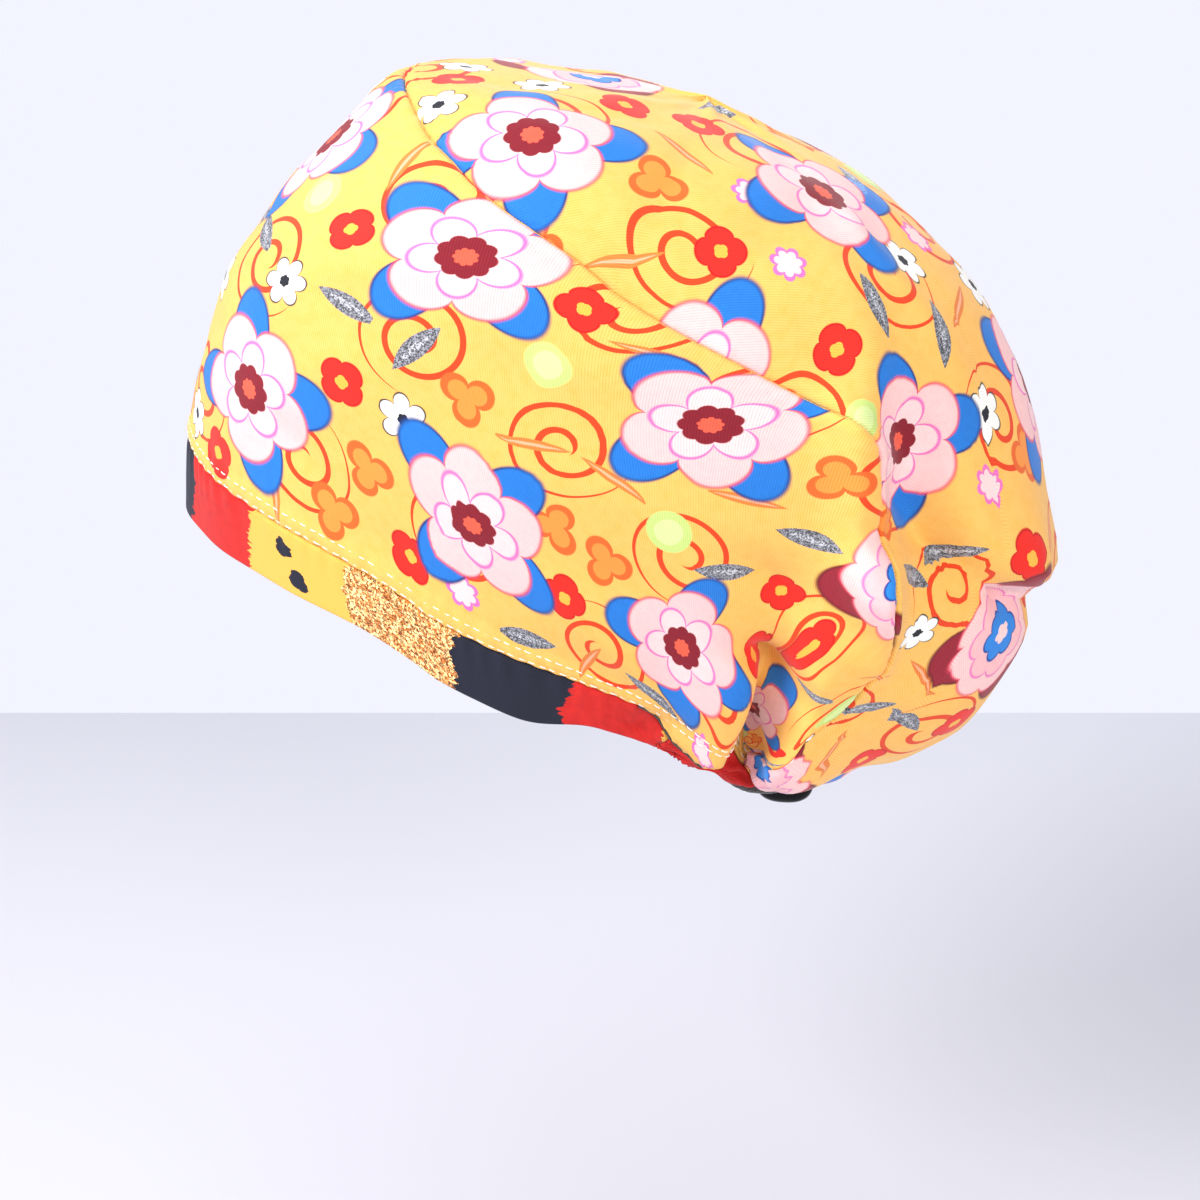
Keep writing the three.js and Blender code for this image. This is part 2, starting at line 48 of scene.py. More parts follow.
LENS = 54


def backwards(azimuth, elevation):
    """Direction from what is looked at to the viewer: azimuth 0 looks along +Y, 90 along -X."""
    level = math.cos(elevation)
    return Vector((math.sin(azimuth) * level, -math.cos(azimuth) * level, math.sin(elevation)))


camera_data = bpy.data.cameras.new("camera")
camera_data.sensor_width = SENSOR
camera_data.lens = LENS
camera = bpy.data.objects.new("camera", camera_data)
camera_back = backwards(CAMERA_AZIMUTH, CAMERA_ELEVATION)
camera.location = CAMERA_AIM + CAMERA_DISTANCE * camera_back
camera.rotation_euler = camera_back.to_track_quat("Z", "Y").to_euler()
bpy.context.scene.collection.objects.link(camera)
bpy.context.scene.camera = camera

# Cord lock: a glossy black bean moulded in plastic, with a bore that the drawcord is gripped in.
# It hangs on the cord below the nape, and only its lower half shows under the pouch.
LOCK_LENGTH = 0.020
LOCK_WIDTH = 0.013
LOCK_HEIGHT = 0.015
LOCK_FULLNESS = 2.5
LOCK_CENTRE = np.array([-0.0047, 0.1033, -0.0663])
LOCK_BORE = 0.0015
PARTING_LINE = 0.0002
PARTING_WIDTH = 0.04
LOCK_SIDES = 96
LOCK_ROWS = 48
LOCK_BORE_ROWS = 8
WELD_DISTANCE = 1e-6


def add_node(tree, kind, inputs=(), **settings):
    """A shader node with its settings, and each input set to a value or linked from a socket."""
    made = tree.nodes.new("ShaderNode" + kind)
    for name, value in settings.items():
        setattr(made, name, value)
    for name, value in dict(inputs).items():
        if isinstance(value, bpy.types.NodeSocket):
            tree.links.new(value, made.inputs[name])
        else:
            made.inputs[name].default_value = value
    return made


def maths(tree, operation, *values):
    """A number worked out from numbers or sockets."""
    return add_node(tree, "Math", dict(enumerate(values)), operation=operation).outputs[0]


def mix_colours(tree, share, under, over):
    """The colour over laid on the colour under by a share from 0 to 1."""
    return add_node(tree, "Mix", {0: share, 6: under, 7: over}, data_type="RGBA").outputs[2]


def noise(tree, place, scale, detail=2.0, roughness=0.5):
    """Smooth noise from 0 to 1, with so many waves in a metre of the place."""
    inputs = {"Vector": place, "Scale": scale, "Detail": detail, "Roughness": roughness}
    return add_node(tree, "TexNoise", inputs).outputs[0]


def ramp(tree, value, low, high, to_low=0.0, to_high=1.0):
    """A soft step: to_low where the value is under low, to_high where it is over high."""
    inputs = {"Value": value, "From Min": low, "From Max": high, "To Min": to_low, "To Max": to_high}
    return add_node(tree, "MapRange", inputs, interpolation_type="SMOOTHSTEP").outputs[0]


def new_material(name, roughness, **constants):
    """A material with its Principled shader, whose plain values are set on its own sockets."""
    material = bpy.data.materials.new(name)
    material.use_nodes = True
    shader = material.node_tree.nodes["Principled BSDF"]
    shader.inputs["Roughness"].default_value = roughness
    for socket, value in constants.items():
        shader.inputs[socket.replace("_", " ")].default_value = value
    return material, material.node_tree, shader.inputs


def bump(tree, height, strength, distance):
    """Normal of a surface raised by a height from 0 to 1."""
    inputs = {"Height": height, "Strength": strength, "Distance": distance}
    return add_node(tree, "Bump", inputs).outputs[0]


def make_mesh(name, places, quads, materials, uv=None, marks=None):
    """An object from arrays: places (n, 3), quads (m, 4), a uv for each place and named marks, which
    are a number for each place. Doubles are merged, so a row drawn to one place becomes a pole."""
    mesh = bpy.data.meshes.new(name)
    mesh.from_pydata(places.reshape(-1, 3).tolist(), [], quads.reshape(-1, 4).tolist())
    corners = np.empty(len(mesh.loops), int)
    mesh.loops.foreach_get("vertex_index", corners)
    if uv is not None:
        layer = mesh.uv_layers.new(name="cloth")
        layer.data.foreach_set("uv", uv.reshape(-1, 2)[corners].astype(np.float32).ravel())
    for label, values in (marks or {}).items():
        attribute = mesh.attributes.new(label, "FLOAT", "POINT")
        attribute.data.foreach_set("value", values.astype(np.float32).ravel())
    work = bmesh.new()
    work.from_mesh(mesh)
    bmesh.ops.remove_doubles(work, verts=work.verts, dist=WELD_DISTANCE)
    work.to_mesh(mesh)
    work.free()
    mesh.polygons.foreach_set("use_smooth", np.ones(len(mesh.polygons), bool))
    for material in materials:
        mesh.materials.append(material)
    piece = bpy.data.objects.new(name, mesh)
    bpy.context.scene.collection.objects.link(piece)
    return piece


def grid_quads(columns, rows, round_columns=False, round_rows=False):
    """Corners of the quads of a grid stored column by column, closed on itself where asked."""
    i, j = np.meshgrid(np.arange(columns - (not round_columns)), np.arange(rows - (not round_rows)),
                       indexing="ij")
    right, above = (i + 1) % columns, (j + 1) % rows
    return np.stack([i * rows + j, right * rows + j, right * rows + above, i * rows + above], -1)


def lock_surface():
    """A ring round the bore. Its section runs over the bean from one mouth of the bore to the other
    and back through the bore. Round the bore the bean is a superellipse, and along it too: at a sweep
    w, x is the half width times cos(w)^(2/f) and the radius is the middle's times sin(w)^(2/f)."""
    angle = np.linspace(0, 2 * np.pi, LOCK_SIDES, endpoint=False)[:, None]
    power = LOCK_FULLNESS
    middle = ((np.abs(np.cos(angle)) * 2 / LOCK_LENGTH) ** power
              + (np.abs(np.sin(angle)) * 2 / LOCK_HEIGHT) ** power) ** (-1 / power)
    first = np.arcsin((LOCK_BORE / middle) ** (power / 2))
    sweep = first + (np.pi - 2 * first) * np.linspace(0, 1, LOCK_ROWS)[None, :]
    x = np.sign(np.cos(sweep)) * np.abs(np.cos(sweep)) ** (2 / power) * LOCK_WIDTH / 2
    groove = PARTING_LINE * np.exp(-((np.sin(angle) / PARTING_WIDTH) ** 2)) * np.sin(sweep) ** 2
    radius = middle * np.sin(sweep) ** (2 / power) - groove
    through = x[:, -1:] + (x[:, :1] - x[:, -1:]) * np.linspace(0, 1, LOCK_BORE_ROWS)[None, 1:-1]
    x = np.concatenate([x, through], 1)
    radius = np.concatenate([radius, np.full_like(through, LOCK_BORE)], 1)
    return LOCK_CENTRE + np.stack([x, radius * np.cos(angle), radius * np.sin(angle)], -1)


black_plastic, tree, shader = new_material(
    "black_plastic", 0.10, Base_Color=(0.003, 0.003, 0.004, 1), Specular_IOR_Level=0.12)
place = add_node(tree, "TexCoord").outputs["Object"]
scuffs = ramp(tree, noise(tree, place, 900, 3), 0.50, 0.72)
tree.links.new(ramp(tree, scuffs, 0, 1, 0.06, 0.16), shader["Roughness"])
tree.links.new(bump(tree, noise(tree, place, 220, 2), 0.12, 0.0002), shader["Normal"])

surface = lock_surface()
cord_lock = make_mesh("cord_lock_bean", surface, grid_quads(*surface.shape[:2], True, True),
                      [black_plastic])
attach(cord_lock, "root")
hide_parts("cord_lock")

# Drawcord: a thin round cord of braided black elastic. It runs inside the nape's casing, comes out
# left of the middle, hangs in a short loop under the pouch through its lock, and goes back in.
CORD_DIAMETER = 0.0024
CORD_ROUTE = np.array([
    [0.0315, 0.0865, -0.0490], [0.0310, 0.0872, -0.0504], [0.0296, 0.0884, -0.0520],
    [0.0272, 0.0900, -0.0540], [0.0236, 0.0922, -0.0566], [0.0180, 0.0956, -0.0596],
    [0.0110, 0.0992, -0.0628], [0.0040, 0.1018, -0.0652], [-0.0030, 0.1032, -0.0662],
    [-0.0104, 0.1028, -0.0660], [-0.0176, 0.1003, -0.0646], [-0.0238, 0.0968, -0.0619],
    [-0.0282, 0.0932, -0.0590], [-0.0310, 0.0909, -0.0558], [-0.0324, 0.0902, -0.0528],
    [-0.0328, 0.0906, -0.0501],
])
CORD_SIDES = 32
CORD_STATIONS = 24
BRAID_STRANDS = 6
BRAID_PITCH = 0.0044
BRAID_RELIEF = 0.00014
SHORTEST = 1e-12
ELASTIC_BLACK = (0.006, 0.006, 0.007, 1)
ELASTIC_GREY = (0.050, 0.050, 0.056, 1)


def unit(vectors):
    """Vectors at length 1."""
    return vectors / np.maximum(np.linalg.norm(vectors, axis=-1, keepdims=True), SHORTEST)


def smooth_route(points, stations):
    """Centripetal Catmull-Rom curve: between two points a cubic, whose slope at each end comes from
    that point's two neighbours, with the square roots of the distances as the knots' spacing."""
    ends = np.vstack([2 * points[:1] - points[1:2], points, 2 * points[-1:] - points[-2:-1]])
    a, b, c, d = ends[:-3, None], ends[1:-2, None], ends[2:-1, None], ends[3:, None]
    first, middle, last = (np.sqrt(np.linalg.norm(q - p, axis=-1, keepdims=True))
                           for p, q in ((a, b), (b, c), (c, d)))
    start = middle * ((b - a) / first - (c - a) / (first + middle) + (c - b) / middle)
    end = middle * ((c - b) / middle - (d - b) / (middle + last) + (d - c) / last)
    t = np.linspace(0, 1, stations, endpoint=False)[None, :, None]
    curve = b + start * t + (3 * (c - b) - 2 * start - end) * t**2 + (2 * (b - c) + start + end) * t**3
    return np.vstack([curve.reshape(-1, 3), points[-1:]])


def distance_along(path):
    """Distance from the start of a path to each of its points."""
    return np.concatenate([[0], np.cumsum(np.linalg.norm(np.diff(path, axis=0), axis=1))])


def tube(path, radius, sides, across):
    """A round section carried along a path: radius is a number for each station and side, and the
    section's first axis is the direction across made square to the path."""
    ahead = unit(np.gradient(path, axis=0))
    side = unit(across - np.sum(across * ahead, -1, keepdims=True) * ahead)
    other = np.cross(ahead, side)
    angle = np.linspace(0, 2 * np.pi, sides, endpoint=False)[None, :, None]
    section = np.cos(angle) * side[:, None] + np.sin(angle) * other[:, None]
    return path[:, None] + radius[..., None] * section


route = smooth_route(CORD_ROUTE, CORD_STATIONS)
along = distance_along(route)
angle = np.linspace(0, 2 * np.pi, CORD_SIDES, endpoint=False)[None, :]
lay = 2 * np.pi * along[:, None] / BRAID_PITCH
braid = np.maximum(np.cos(lay + BRAID_STRANDS / 2 * angle), np.cos(lay - BRAID_STRANDS / 2 * angle))
surface = tube(route, CORD_DIAMETER / 2 - BRAID_RELIEF * (1 - braid), CORD_SIDES, np.array([0, 1.0, 0]))
uv = np.stack(np.broadcast_arrays(along[:, None], angle * CORD_DIAMETER / 2), -1)

black_elastic, tree, shader = new_material("black_elastic", 0.7, Sheen_Weight=0.25, Sheen_Roughness=0.5)
place = add_node(tree, "UVMap", uv_map="cloth").outputs[0]
fibres = noise(tree, place, 2600, 3, 0.65)
tree.links.new(mix_colours(tree, fibres, ELASTIC_BLACK, ELASTIC_GREY), shader["Base Color"])
tree.links.new(ramp(tree, fibres, 0, 1, 0.58, 0.85), shader["Roughness"])
tree.links.new(bump(tree, fibres, 0.5, 0.0001), shader["Normal"])

quads = grid_quads(len(route), CORD_SIDES, round_rows=True)[..., ::-1]
drawcord = make_mesh("drawcord_braid", surface, quads, [black_elastic], uv)
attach(drawcord, "root")
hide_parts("drawcord")

# Front panel: one strip of printed twill cotton round the front and sides. Its lower edge is sewn to
# the headband, its upper edge to the crown, and its two ends are pleated under beside the nape.
# First come the forms that every piece of cloth shares: places on the cap are a turn (0 at the
# front, 0.25 on the left, 0.5 at the back) and a level (0 on the opening's edge, 1 in the middle).
FRONT_REACH = 0.097
BACK_REACH = 0.093
OPENING_WIDTH = 0.152
FRONT_RISE = 0.034
SIDE_RISE = 0.001
BACK_DROP = 0.053
CROWN_HEIGHT = 0.170
CAP_WIDTH = 0.190
POUCH_REACH = 0.182
POUCH_DROP = 0.058
CROWN_MIDDLE_REACH = 0.072
CROWN_MIDDLE_HEIGHT = 0.160
BAND_HEIGHT = 0.027
PANEL_WALL = 0.0013
MAP_AROUND = math.pi * (FRONT_REACH + BACK_REACH + CAP_WIDTH) / 2
MAP_UP = 1.95 * CROWN_HEIGHT
FOREHEAD_ROUND = 0.85
FOREHEAD_RISE = 0.7
STEP = 0.002

# Each column has one number for each hoop of the bag, by its level. The fronts are shares from the
# opening's edge to the crown, and swell and close widen a hoop and draw it in to the middle.
HOOP_LEVELS = np.array([0, 0.10, 0.22, 0.36, 0.52, 0.68, 0.84, 1.00])
HOOPS = {
    "front_y": [1.00, 0.955, 0.87, 0.73, 0.48, 0.17, -0.22, -CROWN_MIDDLE_REACH / FRONT_REACH],
    "front_z": [0.00, 0.18, 0.38, 0.59, 0.80, 0.99, 0.985,
                (CROWN_MIDDLE_HEIGHT - FRONT_RISE) / (CROWN_HEIGHT - FRONT_RISE)],
    "side_y": [0.00, 0.00, 0.07, 0.18, 0.29, 0.36, 0.395, CROWN_MIDDLE_REACH / POUCH_REACH],
    "side_z": [0.00, 0.17, 0.32, 0.50, 0.665, 0.805, 0.89,
               (CROWN_MIDDLE_HEIGHT - SIDE_RISE) / (CROWN_HEIGHT - SIDE_RISE)],
    "swell": [0.00, 0.20, 0.58, 0.95, 1.00, 1.00, 1.00, 1.00],
    "close": [1.00, 1.00, 1.00, 1.00, 1.00, 0.84, 0.53, 0.00],
    "back_y": [0.00, 0.19, 0.52, 0.84, 1.00, 0.85, 0.41,
               (CROWN_MIDDLE_REACH - BACK_REACH) / (POUCH_REACH - BACK_REACH)],
    "hang": [0, 1, 1, 1, 1, 1, 1, 1],
    "back_z": [0.00, 0.00, 0.03, 0.125, 0.35, 0.625, 0.825,
               (CROWN_MIDDLE_HEIGHT + POUCH_DROP) / (CROWN_HEIGHT + POUCH_DROP)],
    "round": [1.05, 1.03, 1.00, 0.95, 0.95, 1.02, 1.05, 1.00],
}

# The seam below the crown, by its share of the way from the front's middle to the back's: its turn
# and level. It dives into the pouch's side fold and comes out at the gather.
SEAM_WAYS = np.array([0, 0.14, 0.25, 0.33, 0.42, 0.51, 0.56, 0.62, 0.69, 0.76, 0.81, 0.85, 0.88, 1])
SEAM_TURNS = [0, 0.100, 0.170, 0.215, 0.270, 0.325, 0.354, 0.368, 0.384, 0.396, 0.405, 0.413, 0.427, 0.5]
SEAM_LEVELS = [0.685, 0.662, 0.612, 0.568, 0.548, 0.556, 0.560, 0.480, 0.370, 0.265, 0.178, 0.100,
               0.098, 0.095]
BAND_TURNS = np.array([0, 0.10, 0.20, 0.28, 0.335, 0.350, 0.368, 0.39, 0.42, 0.50])
BAND_SHARES = [1.00, 0.92, 0.80, 0.66, 0.66, 0.60, 0.38, 0.32, 0.42, 0.50]
PANEL_END_WAY = 0.85
BAND_END_WAY = 0.75
BAND_STEP = 0.05
SEAM_CLEARANCE = 0.0001

# The large folds. Each row: where it runs from and to (turn, level), half its width, how far it
# stands out at its two ends, and how far it leans over to its right. The lengths are in millimetres.
FOLDS = [
    ((0.350, 0.560), (0.374, 0.430), 11.0, 8.0, 8.0, 7.0),      # left ridge beside the pouch
    ((0.374, 0.430), (0.398, 0.280), 12.1, 4.9, 1.0, 2.0),      # the same, fading to the nape
    ((0.372, 0.575), (0.382, 0.480), 12.1, -11.0, -9.0, 0),     # left valley behind the ridge
    ((0.353, 0.560), (0.343, 0.710), 9.0, 3.1, 1.0, 0),         # left ridge above the seam's pinch
    ((0.385, 0.525), (0.440, 0.535), 12.9, 3.1, 4.4, 3.1),      # upper lobe's lip, left
    ((0.440, 0.535), (0.540, 0.520), 12.9, 4.4, 4.1, 4.9),      # upper lobe's lip, back
    ((0.540, 0.520), (0.610, 0.500), 12.9, 4.1, 2.0, 3.1),      # upper lobe's lip, right
    ((0.372, 0.480), (0.440, 0.496), 7.0, -4.1, -6.0, 0),       # crease under the lip, left
    ((0.440, 0.496), (0.540, 0.484), 7.0, -6.0, -5.0, 0),       # crease under the lip, back
    ((0.540, 0.484), (0.615, 0.460), 7.0, -5.0, -2.0, 0),       # crease under the lip, right
    ((0.396, 0.105), (0.366, 0.250), 8.5, -20.0, -10.0, 0),     # left valley above the gather
    ((0.362, 0.265), (0.344, 0.345), 8.5, -8.0, -3.5, 0),       # left valley running up
    ((0.342, 0.360), (0.350, 0.430), 9.0, -3.5, 0, 0),          # left valley running out
    ((0.382, 0.090), (0.350, 0.230), 9.0, 6.5, 3.0, 5.0),       # left flap's rear edge
    ((0.392, 0.230), (0.368, 0.330), 9.0, 5.0, 4.0, 0),         # left lobe behind the valley
    ((0.418, 0.300), (0.440, 0.200), 9.0, -2.5, -1.0, 0),       # left dent in the lower lobe
    ((0.410, 0.205), (0.450, 0.170), 10.5, 7.0, 6.0, 6.5),      # left lobe hanging over the casing
    ((0.404, 0.250), (0.420, 0.140), 8.0, 4.0, 6.0, 10.0),      # left lobe leaning over the valley
    ((0.548, 0.190), (0.580, 0.205), 10.5, 6.8, 6.0, 6.0),      # right lobe hanging over the casing
    ((0.335, 0.000), (0.368, 0.000), 13.9, 0, 0, -5.1),         # left edge lifted beside the nape
    ((0.268, 0.000), (0.292, 0.000), 17.9, 0, 0, 3.4),          # left edge dipping behind the ear
    ((0.366, 0.780), (0.400, 0.670), 9.0, 2.6, 1.0, 0),         # left soft ridge on the crown
    ((0.176, 0.186), (0.234, 0.113), 8.0, -1.5, -1.0, 0),       # left soft dent near the band
    ((0.246, 0.245), (0.340, 0.150), 10.0, 1.0, 2.6, 0),        # left soft fold to the nape
    ((0.642, 0.540), (0.616, 0.400), 12.1, 7.0, 4.9, -4.9),     # right ridge beside the pouch
    ((0.622, 0.560), (0.612, 0.460), 12.1, -8.0, -6.0, 0),      # right valley behind the ridge
    ((0.628, 0.150), (0.655, 0.300), 11.0, -17.0, -6.0, 0),     # right valley above the gather
    ((0.648, 0.130), (0.672, 0.280), 11.0, 4.9, 2.0, -3.1),     # right flap's rear edge
    ((0.602, 0.140), (0.636, 0.300), 10.0, 3.1, 4.9, 0),        # right lobe behind the valley
    ((0.632, 0.000), (0.665, 0.000), 13.9, 0, 0, -4.4),         # right edge lifted beside the nape
    ((0.708, 0.000), (0.732, 0.000), 17.9, 0, 0, 2.6),          # right edge dipping behind the ear
    ((0.740, 0.300), (0.660, 0.180), 11.0, 1.0, 3.1, 0),        # right soft fold on the panel
    ((0.650, 0.700), (0.600, 0.600), 12.1, -3.1, -1.0, 0),      # right soft dent on the crown
]

# Small folds of the cloth itself, in the same columns.
SMALL_FOLDS = [
    ((0.356, 0.545), (0.330, 0.440), 4.5, -1.1, 0, 0),          # drag line below the seam's pinch
    ((0.352, 0.560), (0.300, 0.500), 5.0, -0.9, 0, 0),
    ((0.349, 0.575), (0.310, 0.640), 5.0, -0.8, 0, 0),
    ((0.357, 0.575), (0.362, 0.700), 4.0, -1.1, 0, 0),
    ((0.380, 0.440), (0.396, 0.330), 4.5, -1.6, -0.4, 0),       # creases down the pouch's side
    ((0.405, 0.420), (0.400, 0.250), 5.0, -1.2, -0.6, 0),
    ((0.400, 0.170), (0.372, 0.290), 3.6, -1.6, -0.5, 0),       # creases that fan out of the gather
    ((0.412, 0.160), (0.398, 0.300), 3.6, -1.4, -0.3, 0),
    ((0.345, 0.150), (0.322, 0.250), 4.0, -1.3, -0.2, 0),
    ((0.335, 0.130), (0.300, 0.190), 4.5, -0.9, 0, 0),
    ((0.360, 0.240), (0.336, 0.330), 4.0, 1.2, 0.3, 0),
    ((0.415, 0.560), (0.400, 0.640), 6.0, -0.9, 0, 0),          # soft hollows on the crown
    ((0.300, 0.720), (0.340, 0.800), 8.0, -0.8, -0.3, 0),
    ((0.150, 0.640), (0.180, 0.560), 5.0, -0.6, 0, 0),          # drag lines beside the front seam
    ((0.060, 0.660), (0.080, 0.600), 4.0, -0.5, 0, 0),
    ((0.100, 0.180), (0.160, 0.130), 6.0, -0.6, 0, 0),
    ((0.644, 0.545), (0.670, 0.440), 4.5, -1.1, 0, 0),
    ((0.648, 0.560), (0.700, 0.500), 5.0, -0.9, 0, 0),
    ((0.600, 0.170), (0.628, 0.290), 3.6, -1.6, -0.5, 0),
    ((0.588, 0.160), (0.602, 0.300), 3.6, -1.4, -0.3, 0),
    ((0.655, 0.150), (0.678, 0.250), 4.0, -1.3, -0.2, 0),
    ((0.470, 0.300), (0.455, 0.180), 5.0, -1.4, -0.8, 0),
    ((0.530, 0.300), (0.545, 0.180), 5.0, -1.4, -0.8, 0),
    ((0.500, 0.420), (0.500, 0.260), 7.0, -1.0, -0.6, 0),
    ((0.384, 0.360), (0.372, 0.455), 6.0, 2.0, 3.6, 3.0),       # left ridge bulging behind
    ((0.394, 0.350), (0.386, 0.450), 5.5, -1.5, -3.2, 0),
    ((0.377, 0.530), (0.394, 0.506), 8.0, -8.0, -6.0, 0),       # left hollow behind the ridge
    ((0.378, 0.476), (0.404, 0.480), 4.5, 4.0, 2.2, 0),
    ((0.376, 0.100), (0.352, 0.230), 5.0, 3.5, 2.0, 4.0),       # left flap's edge over the valley
    ((0.388, 0.110), (0.362, 0.245), 4.5, -5.0, -3.0, 0),
    ((0.372, 0.300), (0.392, 0.180), 5.0, 2.6, 2.0, 0),         # left lobe's round front
    ((0.352, 0.060), (0.362, 0.160), 4.0, -1.4, -0.6, 0),       # scallops in the flap's hem
    ((0.372, 0.050), (0.368, 0.120), 3.5, -1.6, -0.5, 0),
    ((0.446, 0.175), (0.480, 0.195), 9.0, -3.6, -2.6, 0),       # left lobe drawn up beside the lock
]
FOLD_UNIT = 0.001


def along_table(keys, column, at):
    """A smooth curve through a table's column: a cubic between two rows, with the slope at each row
    taken from its two neighbours."""
    column = np.asarray(column, float)
    rows = np.arange(len(keys))
    before, after = np.maximum(rows - 1, 0), np.minimum(rows + 1, rows[-1])
    slope = (column[after] - column[before]) / (keys[after] - keys[before])
    row = np.clip(np.searchsorted(keys, at, side="right") - 1, 0, rows[-1] - 1)
    span = keys[row + 1] - keys[row]
    s = (at - keys[row]) / span
    return ((2 * s**3 - 3 * s**2 + 1) * column[row] + (s**3 - 2 * s**2 + s) * span * slope[row]
            + (3 * s**2 - 2 * s**3) * column[row + 1] + (s**3 - s**2) * span * slope[row + 1])


def between(low, high, share):
    """The number a share of the way from low to high."""
    return low + (high - low) * share


def bag_place(turn, level):
    """The bag before its folds: each hoop passes through its front, side and back points, blended by
    the turn's cosine and sine, with powers under 1 that make the forehead fuller."""
    at = {name: along_table(HOOP_LEVELS, column, level) for name, column in HOOPS.items()}
    cos, sin = np.cos(2 * np.pi * turn), np.sin(2 * np.pi * turn)
    lies = np.where(cos > 0, np.maximum(cos, 0) ** FOREHEAD_ROUND, cos)
    rises = np.where(cos > 0, np.maximum(cos, 0) ** FOREHEAD_RISE, cos)
    half_width = between(OPENING_WIDTH, CAP_WIDTH, at["swell"]) / 2
    x = half_width * at["close"] * np.sign(sin) * np.abs(sin) ** at["round"]
    y = (-(lies**2 + lies) / 2 * at["front_y"] * FRONT_REACH + (1 - lies**2) * at["side_y"] * POUCH_REACH
         + (lies**2 - lies) / 2 * between(BACK_REACH, POUCH_REACH, at["back_y"]))
    back_z = -between(BACK_DROP, POUCH_DROP, at["hang"]) + (CROWN_HEIGHT + POUCH_DROP) * at["back_z"]
    z = ((rises**2 + rises) / 2 * between(FRONT_RISE, CROWN_HEIGHT, at["front_z"])
         + (1 - rises**2) * between(SIDE_RISE, CROWN_HEIGHT, at["side_z"])
         + (rises**2 - rises) / 2 * back_z)
    return np.stack(np.broadcast_arrays(x, y, z), -1)


def directions(surface, turn, level):
    """Directions round, up and out of a surface at places on it, from points a small step away."""
    inside = np.minimum(level, 1 - 2 * STEP)
    up = unit(surface(turn, inside + STEP) - surface(turn, np.maximum(inside - STEP, 0)))
    around = unit(surface(turn + STEP, inside) - surface(turn - STEP, inside))
    return around, up, unit(np.cross(around, up))


# The gathers: pleats across the nape, deepest along the casing's top, fading up the cloth and sideways.
PLEAT_DEPTH = 0.004
PLEAT_COUNT = 20
PLEAT_FADE = 0.042
PLEAT_SPREAD = 0.13
PLEAT_START = 0.05
FINE_PLEAT_DEPTH = 0.0011
FINE_PLEAT_COUNT = 61
FINE_PLEAT_FADE = 0.022
FINE_PLEAT_WANDER = 0.004
FINE_PLEAT_SWAYS = 7
FINE_PLEAT_LEAN = 30


def pleats(turn, level):
    """How far the gathers stand out: a cosine across the nape for the drawn pleats and a finer one for
    the cloth between them, times a bell across, a bell up and a start from nothing at the edge."""
    from_back = np.abs(turn - np.round(turn - 0.5) - 0.5)
    near = np.exp(-((from_back / PLEAT_SPREAD) ** 4))
    height = np.maximum(level - PLEAT_START, 0) * MAP_UP
    starts = 1 - np.exp(-((level / PLEAT_START) ** 2))
    sway = np.sin(2 * np.pi * FINE_PLEAT_SWAYS * from_back + FINE_PLEAT_LEAN * level)
    wander = from_back + FINE_PLEAT_WANDER * sway
    broad = PLEAT_DEPTH * np.exp(-((height / PLEAT_FADE) ** 2))
    broad = broad * np.cos(2 * np.pi * PLEAT_COUNT * from_back)
    fine = FINE_PLEAT_DEPTH * np.exp(-((height / FINE_PLEAT_FADE) ** 2))
    fine = fine * np.cos(2 * np.pi * FINE_PLEAT_COUNT * wander)
    return -(broad + fine) * near * starts


# Unevenness of the worn cloth. Each row is a wave: its length, heading, start and height.
RUMPLES = [
    (0.083, 0.3, 0.9, 0.00050),
    (0.051, 1.9, 2.3, 0.00030),
    (0.037, 2.6, 4.1, 0.00022),
    (0.029, 0.9, 1.2, 0.00016),
    (0.019, 2.2, 5.0, 0.00008),
]
RUMPLE_START = 0.12


def rumple(turn, level):
    """Slight unevenness of worn cloth: waves of unlike lengths in unlike directions, added together."""
    around, up = turn * MAP_AROUND, level * MAP_UP
    total = 0
    for wave_length, heading, start, height in RUMPLES:
        run = (around * math.cos(heading) + up * math.sin(heading)) / wave_length
        total = total + height * np.sin(2 * np.pi * run + start)
    return total * (1 - np.exp(-((level / RUMPLE_START) ** 2)))


def cap_place(turn, level):
    """The cap with its gathers and folds: each fold lifts the cloth by a bell of the distance to its
    line, measured on the flat map of the cloth, and slides it over to lean."""
    place = bag_place(turn, level)
    around, up, out = directions(bag_place, turn, level)
    place = place + out * (pleats(turn, level) + rumple(turn, level))[..., None]
    for start, end, half_width, rise_start, rise_end, slide in FOLDS + SMALL_FOLDS:
        across_map = (turn - start[0] - np.round(turn - start[0])) * MAP_AROUND
        up_map = (level - start[1]) * MAP_UP
        run = np.array([(end[0] - start[0]) * MAP_AROUND, (end[1] - start[1]) * MAP_UP])
        length = np.hypot(*run)
        ahead = run / length
        ran = across_map * ahead[0] + up_map * ahead[1]
        aside = across_map * ahead[1] - up_map * ahead[0]
        share = np.clip(ran / length, 0, 1)
        fade = np.exp(-(aside**2 + (ran - share * length) ** 2) / (half_width * FOLD_UNIT) ** 2)
        rise = between(rise_start, rise_end, share) * FOLD_UNIT * fade
        lean = slide * FOLD_UNIT * fade
        place = place + out * rise[..., None] + (around * ahead[1] - up * ahead[0]) * lean[..., None]
    return place


